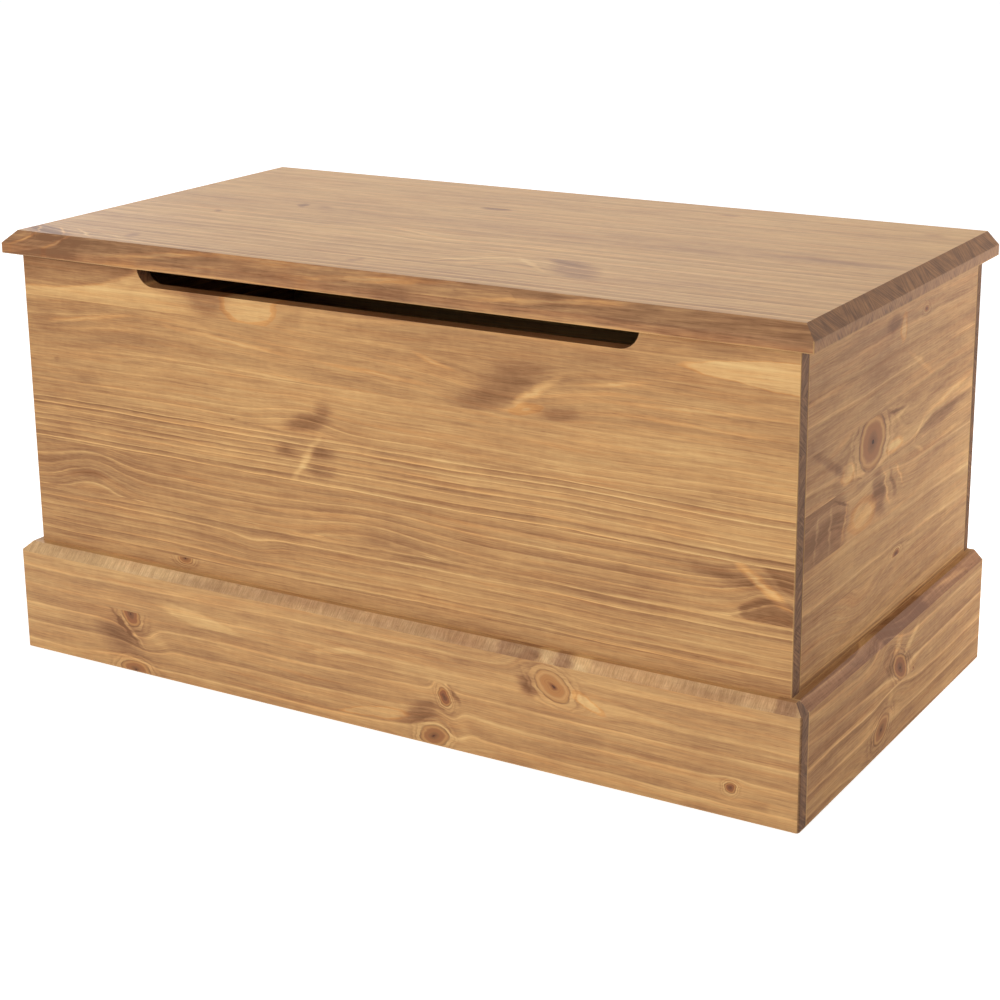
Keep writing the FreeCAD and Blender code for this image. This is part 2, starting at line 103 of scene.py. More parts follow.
def a_share(name, description, default):
    """The property of a value from 0 to 1."""
    return bpy.props.FloatProperty(name=name, description=description, default=default, subtype="FACTOR")


def a_colour(name, description, *default):
    """The property of a colour."""
    return bpy.props.FloatVectorProperty(name=name, description=description, default=default, subtype="COLOR")


class TrunkSizes(bpy.types.PropertyGroup):
    """Sizes that show in the finish of the wood and the fittings."""

    fibre_length: a_length("Fibre Length", "Length of one fibre of the wood", 0.022)
    fibre_width: a_length("Fibre Width", "Width of one fibre of the wood", 0.001)
    mark_spacing: a_length("Tool Mark Spacing", "Distance between the cutter's marks on a chamfer", 0.0012)
    worn_edge: a_length("Worn Edge", "How far the lighter edge of a board reaches from its corner", 0.0013)
    metal_edge: a_length("Metal Edge", "Rounding of the edges of hinges and stay", 0.0002)
    recess_depth: a_share("Recess Depth", "Depth of a screw's recess, as a share of its head radius", 0.55)
    wax_roughness: a_share("Wax Roughness", "Roughness of the waxed boards", 0.46)


class TrunkColours(bpy.types.PropertyGroup):
    """Colours of the wood and the metal."""

    shade: a_colour("Deep Shade", "Darkest stain in the wood", 0.190, 0.080, 0.029)
    brown: a_colour("Brown Line", "Dark side of a growth ring", 0.318, 0.155, 0.064)
    ground: a_colour("Ground", "Stained wood between the rings", 0.468, 0.253, 0.100)
    line: a_colour("Light Line", "Light side of a growth ring", 0.605, 0.354, 0.142)
    honey: a_colour("Honey", "Lightest wood", 0.715, 0.462, 0.195)
    amber: a_colour("Amber", "Resin-rich wood in and round a knot", 0.500, 0.240, 0.078)
    heart: a_colour("Knot Heart", "Pith in the middle of a knot", 0.045, 0.018, 0.009)
    knot: a_colour("Knot", "Body of a knot", 0.252, 0.092, 0.036)
    rim: a_colour("Knot Rim", "Bark line round a knot", 0.145, 0.058, 0.025)
    end_grain: a_colour("End Grain", "Stain soaked into the boards' ends", 0.158, 0.074, 0.035)
    brass: a_colour("Brass", "Hinges and stay", 0.720, 0.520, 0.240)
    steel: a_colour("Steel", "Screws", 0.560, 0.550, 0.520)
    beech: a_colour("Beech", "Dowels", 0.600, 0.430, 0.270)


# Short forms for building node trees


def operation(name, swapped=False):
    """A way to put a wire into a Math node, as its last value where they are swapped."""
    def method(wire, *others):
        values = (*others, wire) if swapped else (wire, *others)
        return formula(wire.tree, name, *values)
    return method


class Wire:
    """A value in a node tree. A formula of wires and numbers becomes Math nodes."""

    def __init__(self, tree, socket):
        self.tree = tree
        self.socket = socket

    __add__ = operation("ADD")
    __radd__ = operation("ADD", swapped=True)
    __sub__ = operation("SUBTRACT")
    __rsub__ = operation("SUBTRACT", swapped=True)
    __mul__ = operation("MULTIPLY")
    __rmul__ = operation("MULTIPLY", swapped=True)
    __truediv__ = operation("DIVIDE")
    above = operation("GREATER_THAN")
    below = operation("LESS_THAN")
    least = operation("MINIMUM")
    most = operation("MAXIMUM")
    absolute = operation("ABSOLUTE")
    root = operation("SQRT")
    floor = operation("FLOOR")
    fraction = operation("FRACT")
    cosine = operation("COSINE")
    sine = operation("SINE")

    def clamped(self):
        """The value held between 0 and 1."""
        return formula(self.tree, "ADD", self, 0.0, clamp=True)

    def bell(self):
        """Falls from 1 at 0 as the value, already squared, grows."""
        return formula(self.tree, "EXPONENT", self * -1.0)


def feed(tree, value, entry):
    """Links a wire or socket to an input, or writes a plain value on it."""
    if isinstance(value, Wire):
        tree.links.new(value.socket, entry)
    elif isinstance(value, bpy.types.NodeSocket):
        tree.links.new(value, entry)
    elif entry.type == "RGBA" and len(value) == 3:
        entry.default_value = (*value, 1.0)
    else:
        entry.default_value = value


def formula(tree, name, *values, clamp=False):
    node = tree.nodes.new("ShaderNodeMath")
    node.operation = name
    node.use_clamp = clamp
    for entry, value in zip(node.inputs, values):
        feed(tree, value, entry)
    return Wire(tree, node.outputs[0])


def vector(tree, x, y, z=0.0):
    node = tree.nodes.new("ShaderNodeCombineXYZ")
    for entry, value in zip(node.inputs, (x, y, z)):
        feed(tree, value, entry)
    return node.outputs[0]


def parts_of(tree, socket):
    node = tree.nodes.new("ShaderNodeSeparateXYZ")
    feed(tree, socket, node.inputs[0])
    return [Wire(tree, out) for out in node.outputs]


def texture(tree, kind, place, dimensions, **values):
    """A texture node at a place, which is a socket or two or three values."""
    node = tree.nodes.new("ShaderNodeTex" + kind)
    node.noise_dimensions = dimensions
    feed(tree, vector(tree, *place) if isinstance(place, tuple) else place, node.inputs["Vector"])
    for label, value in values.items():
        node.inputs[label.title()].default_value = value
    return node


def noise(tree, place, detail=1.0, roughness=0.5, dimensions="3D"):
    """Soft noise with features one unit wide, centred on zero, about half a unit high."""
    node = texture(tree, "Noise", place, dimensions, scale=1.0, detail=detail, roughness=roughness)
    return Wire(tree, node.outputs[0]) - 0.5


def two_noises(tree, place, detail=1.0):
    """Two independent soft noises at the same place."""
    node = texture(tree, "Noise", place, "2D", scale=1.0, detail=detail, roughness=0.5)
    red, green, _ = parts_of(tree, node.outputs["Color"])
    return red - 0.5, green - 0.5


def chance(tree, place):
    """A number from 0 to 1 that is the same all over one cell."""
    return Wire(tree, texture(tree, "WhiteNoise", place, "2D").outputs["Value"])


def colour_ramp(tree, value, stops, interpolation="LINEAR"):
    """Stops are places from 0 to 1, each with a colour."""
    node = tree.nodes.new("ShaderNodeValToRGB")
    ramp = node.color_ramp
    ramp.interpolation = interpolation
    while len(ramp.elements) > 1:
        ramp.elements.remove(ramp.elements[-1])
    for index, (place, shade) in enumerate(stops):
        stop = ramp.elements[0] if index == 0 else ramp.elements.new(place)
        stop.position = place
        stop.color = (*shade, 1.0)
    feed(tree, value, node.inputs[0])
    return node.outputs["Color"]


def curve(tree, value, stops):
    """A number that follows stops of place and height."""
    return Wire(tree, colour_ramp(tree, value, [(place, (height,) * 3) for place, height in stops]))


def blend(tree, amount, first, second, mode="MIX"):
    node = tree.nodes.new("ShaderNodeMix")
    node.data_type = "RGBA"
    node.blend_type = mode
    feed(tree, amount, node.inputs[0])
    feed(tree, first, node.inputs[6])
    feed(tree, second, node.inputs[7])
    return node.outputs[2]


def smooth_step(value):
    """Rounds the ends of a value that runs from 0 to 1."""
    limited = value.clamped()
    return limited * limited * (3.0 - 2.0 * limited)


def label_of(key):
    return key.replace("_", " ").title()


def start_group(name, entries, exits):
    """A new node group. Entries are its inputs with their defaults, and exits its outputs."""
    tree = bpy.data.node_groups.new(name, "ShaderNodeTree")
    for key, default in entries.items():
        kind = {0: "Float", 3: "Vector", 4: "Color"}[len(default) if isinstance(default, tuple) else 0]
        socket = tree.interface.new_socket(label_of(key), in_out="INPUT", socket_type="NodeSocket" + kind)
        socket.default_value = default
    for key in exits:
        kind = "Color" if key == "color" else "Float"
        tree.interface.new_socket(label_of(key), in_out="OUTPUT", socket_type="NodeSocket" + kind)
    start = tree.nodes.new("NodeGroupInput")
    end = tree.nodes.new("NodeGroupOutput")
    wires = SimpleNamespace(**{key: Wire(tree, socket) for key, socket in zip(entries, start.outputs)})
    return tree, wires, end


def finish_group(tree, end, **values):
    for key, value in values.items():
        feed(tree, value, end.inputs[label_of(key)])
    arrange(tree, end)
    return tree


def place_group(tree, group, **values):
    """A group placed in a tree with its own values. Returns its outputs."""
    node = tree.nodes.new("ShaderNodeGroup")
    node.node_tree = group
    node.width = 200
    for key, value in values.items():
        feed(tree, value, node.inputs[label_of(key)])
    return SimpleNamespace(**{out.name.lower(): Wire(tree, out) for out in node.outputs})


def arrange(tree, end):
    """Sets the nodes out in columns, the last one at the right."""
    column = {end.name: 0}
    waiting = [end]
    while waiting:
        node = waiting.pop()
        for entry in node.inputs:
            for link in entry.links:
                before = link.from_node
                if column.get(before.name, -1) < column[node.name] + 1:
                    column[before.name] = column[node.name] + 1
                    waiting.append(before)
    heights = {}
    for node in tree.nodes:
        place = column.get(node.name, 0)
        row = heights.get(place, 0)
        node.location = (-260 * place, -180 * row)
        heights[place] = row + 1


# Shader node groups that the boards share


def start_feature(name, exits, **more):
    """A group for a feature. Length and width are the distances from its centre, as shares of its size."""
    entries = dict.fromkeys(("along", "across", "seam_across", "centre_along", "centre_across", "tilt"), 0.0)
    entries.update(half_length=20.0, half_width=10.0, low_seam=-NO_SEAM, high_seam=NO_SEAM, **more)
    tree, wires, end = start_group(name, entries, exits)
    run = wires.along - wires.centre_along
    rise = wires.across - wires.centre_across
    cosine, sine = wires.tilt.cosine(), wires.tilt.sine()
    wires.length = (run * cosine + rise * sine) / wires.half_length
    wires.width = (rise * cosine - run * sine) / wires.half_width
    wires.window = wires.seam_across.above(wires.low_seam) * wires.seam_across.below(wires.high_seam)
    return tree, wires, end


def knot_group():
    """A knot parts the growth rings. Level is a ring's place across, and Nearest is the knot's distance."""
    tree, wires, end = start_feature("Knot", ("level", "nearest", "red"), level=0.0, nearest=NO_KNOT,
                                     push=0.8, red=0.0, own_red=0.5)
    long, wide = wires.length * wires.length, wires.width * wires.width
    reach = (long * 0.12 + wide * 0.30).bell()
    parting = (wires.across - wires.centre_across) * wires.push * reach * wires.window
    distance = (long + wide).root() + (1.0 - wires.window) * NO_KNOT
    red = wires.red + (wires.own_red - wires.red) * distance.below(wires.nearest)
    nearest = distance.least(wires.nearest)
    return finish_group(tree, end, level=wires.level - parting, nearest=nearest, red=red)


def swell_group():
    """The growth rings rise or dip round a place on the board."""
    tree, wires, end = start_feature("Swell", ("level",), level=0.0, height=5.0)
    lift = (wires.length * wires.length + wires.width * wires.width).bell() * wires.height * wires.window
    return finish_group(tree, end, level=wires.level - lift)


def patch_group():
    """A lighter or darker patch, from a soft oval to a pointed flame, with a warmer outline. Most are stain,
    and a few wide soft ones are painted shade and painted light across a panel.
    """
    tree, wires, end = start_feature("Stain and Shade Patch", ("light", "warmth"), light=0.0, warmth=0.0, amount=0.2,
                                     point=0.0, softness=0.5, rim=0.0)
    taper = (1.0 + (wires.length - 1.0) * 0.5 * wires.point).most(0.03)
    narrow = wires.width / taper
    inside = smooth_step((1.0 - (wires.length * wires.length + narrow * narrow).root()) / wires.softness)
    outline = inside * (1.0 - inside) * 4.0 * wires.rim
    light = wires.light + inside * wires.amount * wires.window
    return finish_group(tree, end, light=light, warmth=wires.warmth + outline * wires.window)


def pine_group(colours):
    """Stained pine: growth rings about the pith of each stave, fibres, pores, knots and patches."""
    entries = dict.fromkeys(("along", "across", "depth", "row", "level", "light", "warmth"), 0.0)
    entries.update(dict.fromkeys(("pith_across", "pith_depth", "contrast", "tone"), 0.0))
    entries.update(nearest=NO_KNOT, red=0.5, ring_width=6.0)
    entries.update(fibre_amount=1.0, fibre_length=14.0, fibre_width=0.6)
    tree, wires, end = start_group("Pine", entries, ("color", "height", "figure"))
    along, across, depth, row = wires.along, wires.across, wires.depth, wires.row

    # Rings about a pith that wanders along the stave
    wander, drift = two_noises(tree, (along / 280.0, row * 5.3))
    ripple = noise(tree, (along / 55.0, across / 14.0, row), detail=2.0)
    side = wires.level - wires.pith_across + wander * 8.0 + ripple * 2.2
    below = wires.pith_depth + depth + drift * 10.0
    distance = (side * side + below * below).root()
    turns = distance / wires.ring_width
    spread = noise(tree, (turns / 2.6, row * 3.1 + along / 900.0), dimensions="2D")
    phase = turns + spread * 0.9
    profile = curve(tree, phase.fraction(), [
        (0.0, 0.28), (0.09, 0.20), (0.34, 0.36), (0.68, 0.50), (0.84, 0.70), (0.92, 1.08), (1.0, 0.28)])
    strength = chance(tree, (phase.floor(), row)) * 0.9 + 0.25
    fading = noise(tree, (along / 150.0, across / 18.0, row * 2.7)) * 1.8 + 0.9
    rings = (profile - 0.5) * strength * fading.clamped()
    bands = noise(tree, (along / 340.0, distance / 3.6, row), detail=2.5, roughness=0.62)
    figure = (rings * 0.95 + bands * 0.70) * wires.contrast
    streaks = noise(tree, (along / 95.0, distance / 1.3, row + 7.0), detail=2.0, roughness=0.6)
    streaks = streaks * wires.fibre_amount

    # Fibres, pores and cloudy stain
    fibre_place = (along / wires.fibre_length, across / wires.fibre_width, depth)
    fibre = noise(tree, fibre_place, detail=2.0, roughness=0.6) * wires.fibre_amount
    pore = smooth_step((noise(tree, (along / 9.0, across / 0.9 + 31.0, depth + row)) - 0.16) * 7.0)
    cloud = noise(tree, (along / 60.0, across / 11.0, row), detail=3.0, roughness=0.62)
    mood = noise(tree, (along / 150.0, across / 30.0, row * 0.7), detail=2.0)
    shimmer = noise(tree, (along / 7.0, across / 13.0, depth / 9.0))

    # Light and dark arcs round the knots
    nearest = wires.nearest
    broken = noise(tree, (along / 17.0, across / 11.0, row + 5.0), detail=2.0)
    uneven = (nearest + (nearest - 0.9).most(0.0) * broken * 1.5) / 3.0
    arc = curve(tree, uneven.clamped(), [
        (0.0, 0.5), (0.35, 0.5), (0.375, 0.84), (0.44, 0.76), (0.465, 0.10), (0.50, 0.44), (0.54, 0.66),
        (0.60, 0.22), (0.68, 0.42), (0.76, 0.54), (0.9, 0.5), (1.0, 0.5)])
    arcs = (arc - 0.5) * (broken * 2.4 + 0.75).clamped()
    shade = 0.5 + wires.tone + wires.light + figure * 0.68 + streaks * 0.34 + fibre * 0.46 - pore * 0.17
    shade = shade + cloud * 0.42 + mood * 0.34 + shimmer * 0.10 + arcs * 0.46
    wood = colour_ramp(tree, shade, [
        (0.0, colours.shade), (0.26, colours.brown), (0.50, colours.ground), (0.74, colours.line),
        (1.0, colours.honey)])

    # Knots: rings about the heart, from tan to red, and a broken dark rim
    turns_of_knot = noise(tree, (nearest * 11.0, row + 2.0), detail=1.5, dimensions="2D")
    body = (nearest * 0.9 + broken * 0.16 + turns_of_knot * 0.13).clamped()
    tan = colour_ramp(tree, body, [
        (0.0, colours.heart), (0.05, colours.heart), (0.12, colours.knot), (0.26, colours.amber),
        (0.55, colours.amber), (0.74, colours.line), (0.92, colours.amber), (1.0, colours.knot)])
    red = colour_ramp(tree, body, [
        (0.0, colours.heart), (0.05, colours.heart), (0.11, colours.rim), (0.28, colours.rim),
        (0.42, colours.knot), (0.62, colours.knot), (0.74, colours.amber), (1.0, colours.rim)])
    heart = blend(tree, wires.red, tan, red)
    grooves = (turns_of_knot * 2.4 + 0.5).clamped()
    heart = blend(tree, grooves * 0.35, heart, colours.knot)
    inside = smooth_step((1.03 - nearest) * 14.0)
    rim_reach = (nearest - 1.03) / 0.045
    rim = (rim_reach * rim_reach).bell() * (broken * 2.4 + 0.75).clamped()
    mixed = blend(tree, inside, wood, heart)
    mixed = blend(tree, rim * 0.75, mixed, colours.rim)

    # Warmer and cooler places
    warmth = noise(tree, (along / 130.0, distance / 5.0, row + 3.0), detail=3.0, roughness=0.6)
    tint = colour_ramp(tree, (warmth * 1.6 + wires.warmth + figure * 0.35 + 0.45).clamped(), [
        (0.0, (0.97, 1.015, 1.05)), (0.45, (1.0, 1.0, 1.0)), (0.8, (1.045, 0.965, 0.90)),
        (1.0, (1.0, 0.86, 0.72))])
    mixed = blend(tree, 1.0, mixed, tint, mode="MULTIPLY")
    return finish_group(tree, end, color=mixed, height=fibre * 0.5 + figure * 0.6 - pore * 0.7, figure=figure)


def end_grain_group(colours):
    """Darkens a board's ends, where the stain soaks in. Facing is how far a face looks along the grain."""
    entries = dict.fromkeys(("facing", "along", "across", "depth", "figure", "light", "row"), 0.0)
    tree, wires, end = start_group("End Grain", {"color": PLAIN_WOOD, **entries}, ("color", "mask"))
    across, depth = wires.across, wires.depth
    mask = smooth_step((wires.facing.absolute() - 0.45) * 5.0)
    speck = noise(tree, (wires.along / 0.8, across / 0.8, depth / 0.8), detail=2.0)
    lean = ((wires.row * 0.5).fraction() - 0.25) * 3.0
    ring = noise(tree, ((across + depth * lean) / 2.2, depth / 14.0), detail=2.0)
    cloud = noise(tree, (across / 16.0, depth / 10.0, 4.0), detail=2.0)
    value = 0.35 + wires.light + wires.figure * 0.15 + speck * 0.3 + ring * 1.35 + cloud * 0.8
    dark = [channel * 0.55 for channel in colours.end_grain]
    light = [channel * gain for channel, gain in zip(colours.end_grain, (2.18, 2.26, 1.98))]
    soaked = colour_ramp(tree, value, [(0.0, dark), (0.35, colours.end_grain), (1.0, light)])
    return finish_group(tree, end, color=blend(tree, mask, wires.color, soaked), mask=mask)


def worn_edge_group(colours):
    """Lighter wood along the edges of a board, broken up along its length."""
    entries = {"color": PLAIN_WOOD, "reach": 1.3, "amount": 0.5}
    entries.update(dict.fromkeys(("place", "low_corner", "high_corner"), (0.0, 0.0, 0.0)))
    tree, wires, end = start_group("Worn Edge", entries, ("color", "mask"))
    corners = zip(*(parts_of(tree, wire) for wire in (wires.place, wires.low_corner, wires.high_corner)))
    first, second, third = ((at - near).least(far - at).absolute() for at, near, far in corners)
    middle = first.least(second).most(first.most(second).least(third))
    broken = noise(tree, wires.place, detail=2.0, roughness=0.7) * 0.9
    mask = smooth_step(1.25 - middle / wires.reach + broken * 0.6)
    lighter = blend(tree, mask * wires.amount, wires.color, colours.line)
    return finish_group(tree, end, color=lighter, mask=mask)


def tool_mark_group():
    """Fine marks that a cutter leaves across a chamfer, lighter and darker."""
    entries = {"color": PLAIN_WOOD, "along": 0.0, "across": 0.0, "mask": 0.0, "spacing": 1.6}
    tree, wires, end = start_group("Tool Marks", entries, ("color", "height"))
    mark = noise(tree, (wires.along / wires.spacing, wires.across / 7.0), detail=3.0, roughness=0.7)
    slow = noise(tree, (wires.along / 40.0, wires.across / 30.0 + 9.0), detail=2.0)
    chatter = noise(tree, (wires.along / 5.0, wires.across / 30.0 + 4.0))
    value = (0.5 + mark * 1.6 + chatter * 0.7 + slow * 0.5).clamped()
    tint = colour_ramp(tree, value, [
        (0.0, (0.70, 0.71, 0.77)), (0.5, (1.00, 1.08, 1.26)), (1.0, (1.38, 1.57, 2.03))])
    marked = blend(tree, wires.mask, wires.color, tint, mode="MULTIPLY")
    return finish_group(tree, end, color=marked, height=mark * wires.mask)


def metal_group():
    """Fine brushing, stains and rubbed spots of small metal fittings."""
    entries = {"color": (0.7, 0.5, 0.2, 1.0), "place": (0.0, 0.0, 0.0), "roughness": 0.3}
    tree, wires, end = start_group("Fitting Metal", entries, ("color", "roughness", "height"))
    x, y, z = parts_of(tree, wires.place)
    brushing = noise(tree, (x / 5.0, y / 0.16, z / 0.16), detail=2.0, roughness=0.6)
    tarnish = noise(tree, (x / 7.0, y / 7.0, z / 7.0), detail=4.0, roughness=0.65)
    tint = colour_ramp(tree, (0.5 + tarnish * 1.5 + brushing * 0.25).clamped(), [
        (0.0, (0.58, 0.52, 0.46)), (0.45, (0.90, 0.88, 0.85)), (1.0, (1.08, 1.08, 1.08))])
    rough = (wires.roughness + tarnish * 0.28 + brushing * 0.10).most(0.12).least(0.8)
    stained = blend(tree, 1.0, wires.color, tint, mode="MULTIPLY")
    return finish_group(tree, end, color=stained, roughness=rough, height=brushing)


# Figure of the boards


@dataclass
class Stave:
    """One strip of a glued board: where its pith lies, how its rings look, and its own features."""

    pith_offset: float
    pith_depth: float
    ring_width: float
    contrast: float
    tone: float
    features: list = field(default_factory=list)


@dataclass
class Board:
    """The figure of a board. Along, across and depth are the axes 0 to 2, and places are in millimetres."""

    along: int
    across: int
    seam: float
    stave_width: float
    staves: list
    # Features that cross the seams, and those that only show on the chamfer of a plinth board
    features: list = field(default_factory=list)
    chamfer_features: list = field(default_factory=list)
    seed: float = 0.0
    chamfer_marks: float = 0.0
    chamfer_tone: float = 0.0
    chamfer_warmth: float = 0.0
    # Darker narrow faces along the grain: edge stain on the lid, and painted shade on the slot's ledge under
    # the lid on the front panel
    edge_tone: float = 0.0
    end_light: float = 0.0
    edge_streaks: float = 0.0
    polish: float = 1.21

    @property
    def depth(self):
        return 3 - self.along - self.across

    def features_of_kind(self, wanted):
        """The values of each knot, swell or patch, with the seams that hold it in."""
        last = len(self.staves) - 1
        held = []
        for index, stave in enumerate(self.staves):
            low = self.seam + index * self.stave_width if index > 0 else -NO_SEAM
            high = self.seam + (index + 1) * self.stave_width if index < last else NO_SEAM
            held += [(each, low, high) for each in stave.features]
        held += [(each, -NO_SEAM, NO_SEAM) for each in self.features]
        held += [(each, PLINTH_CHAMFER_FOOT, NO_SEAM) for each in self.chamfer_features]
        return [{**values, "low_seam": low, "high_seam": high}
                for (kind, values), low, high in held if kind == wanted]


def feature(kind, along, across, half_length, half_width, tilt, **values):
    """A feature's kind, and the values of its node group. Its tilt is in degrees."""
    return kind, {"centre_along": along, "centre_across": across, "half_length": half_length,
                  "half_width": half_width, "tilt": math.radians(tilt), **values}


def knot(along, across, half_length, half_width, tilt=0, push=0.9, red=0.7):
    """Push is how far the rings part round it, and red is how red its body is."""
    return feature("knot", along, across, half_length, half_width, tilt, push=push, own_red=red)


def swell(along, across, half_length, half_width, height, tilt=0):
    """Height is how far the rings rise, or dip where it is below zero."""
    return feature("swell", along, across, half_length, half_width, tilt, height=height)


def patch(along, across, half_length, half_width, amount, tilt=0, point=0, soft=0.9, rim=0):
    """Amount is how light or dark it is, point narrows one end, and rim is its warmer outline."""
    return feature("patch", along, across, half_length, half_width, tilt, amount=amount, point=point,
                   softness=soft, rim=rim)


# Its edge darkening is painted shade on the slot's ledge under the lid, and darkens the panel's top and
# bottom faces with it
front_board = Board(
    along=0, across=2, seam=77.1, stave_width=48.9, edge_tone=-0.27, polish=1.27,
    staves=[
        Stave(-90, 30, 12, 0.35, -0.06, [
            knot(-228.4, 125.2, 9, 6, push=0.7),
            patch(-228.3, 118.2, 26, 8, -0.14),
        ]),
        Stave(95, 20, 8.4, 1.1, -0.02, [
            swell(-143.4, 151, 26, 12, -6),
        ]),
        Stave(-80, 24, 10, 0.9, -0.05, [
            swell(-340.8, 199, 42, 30, 15),
            swell(-9.1, 188.9, 62, 26, 10),
            swell(400.2, 194.7, 34, 30, 17),
            patch(-344.8, 195, 36, 9, -0.15),
            patch(-330.5, 183, 34, 4, 0.14),
            patch(-1, 182.9, 30, 8, -0.19),
            patch(358.3, 210.7, 70, 17, -0.3, tilt=-4, point=0.8),
            patch(408.5, 218.6, 34, 15, -0.3, tilt=-34, soft=0.4),
            patch(394, 181.7, 32, 17, -0.34, soft=0.25),
            patch(383.3, 208.7, 46, 7, 0.5, tilt=-37, soft=1, rim=0.5),
        ]),
        Stave(110, 20, 5.8, 1.45, 0.03, [
            patch(-98.8, 254, 21, 10, -0.34),
            patch(-59.6, 256.9, 22, 11, -0.34),
            patch(-61.5, 238.9, 26, 11, -0.32),
            patch(-77.7, 248.9, 42, 6.5, 0.34, tilt=56, soft=1),
        ]),
        Stave(-95, 25, 7.5, 0.55, 0.03, [
            swell(-81.9, 289.1, 45, 22, 9),
            patch(-77.8, 283.1, 34, 12, -0.4, tilt=14, soft=0.8),
            patch(-55.7, 297.1, 14, 13, -0.25, tilt=-30),
        ]),
        Stave(75, 24, 15, 0.42, -0.02, [
            swell(-266.2, 356.8, 110, 40, 11),
            swell(141.9, 344.3, 75, 40, -14),
            patch(-342, 352.8, 82, 3.4, 0.26, tilt=9, soft=1, rim=0.3),
            patch(-165.1, 351.1, 112, 3.4, 0.26, tilt=-5, soft=1, rim=0.3),
            patch(10.7, 339.9, 84, 2.6, 0.22, tilt=-3, soft=1, rim=0.3),
            patch(-252.2, 365.9, 110, 5, 0.16, tilt=-4, soft=1),
            patch(62.2, 360, 30, 3, 0.26, tilt=-15, soft=1, rim=0.4),
            patch(245.9, 361.4, 46, 3, 0.24, tilt=9, soft=1, rim=0.3),
            patch(313.3, 348.2, 110, 3, 0.2, tilt=2, soft=1, rim=0.3),
            patch(323.3, 335.1, 104, 2.4, 0.18, tilt=-2, soft=1, rim=0.3),
            patch(139.9, 349.4, 74, 27, -0.29, tilt=32),
            patch(105.6, 329.2, 46, 14, -0.15, tilt=6),
            patch(165.1, 342.3, 48, 6.5, 0.36, tilt=33, soft=1, rim=0.2),
            patch(159, 328.2, 22, 6.5, 0.1, tilt=12, rim=1.3),
            patch(192.3, 328.1, 30, 9, -0.22, tilt=8, soft=0.8),
            patch(-385.4, 344.8, 34, 20, -0.14, soft=1),
        ]),
        Stave(-70, 40, 19, 0.4, 0, [
            patch(-333.2, 371, 150, 44, 0.22, soft=0.4),
            patch(-435.2, 414.7, 175, 37, -0.42, soft=0.1, rim=0.3),
            patch(-187.6, 390.1, 34, 26, -0.26, soft=0.7),
            patch(-138.1, 392.1, 36, 26, 0.18, soft=0.24, rim=1.5),
            patch(-90.4, 377.9, 26, 10, -0.13, tilt=30, soft=0.7),
            patch(434.8, 386.5, 133, 23, 0.27, point=0.6, soft=0.12, rim=0.5),
            patch(130, 390, 250, 24, -0.09, soft=0.6),
            patch(334, 403.8, 80, 10, -0.16, soft=0.8),
        ]),
    ],
    features=[
        # Painted shade: a wide soft dark patch over the left half of the panel, darker towards its left end
        patch(-431.9, 229.1, 340, 260, -0.08, soft=1),
        patch(290, 372, 170, 60, -0.06, soft=1),
        patch(-376.7, 308.4, 6, 4, -0.15, soft=0.8),
        patch(-160.4, 275.1, 4, 2, -0.21, soft=0.8),
    ],
)

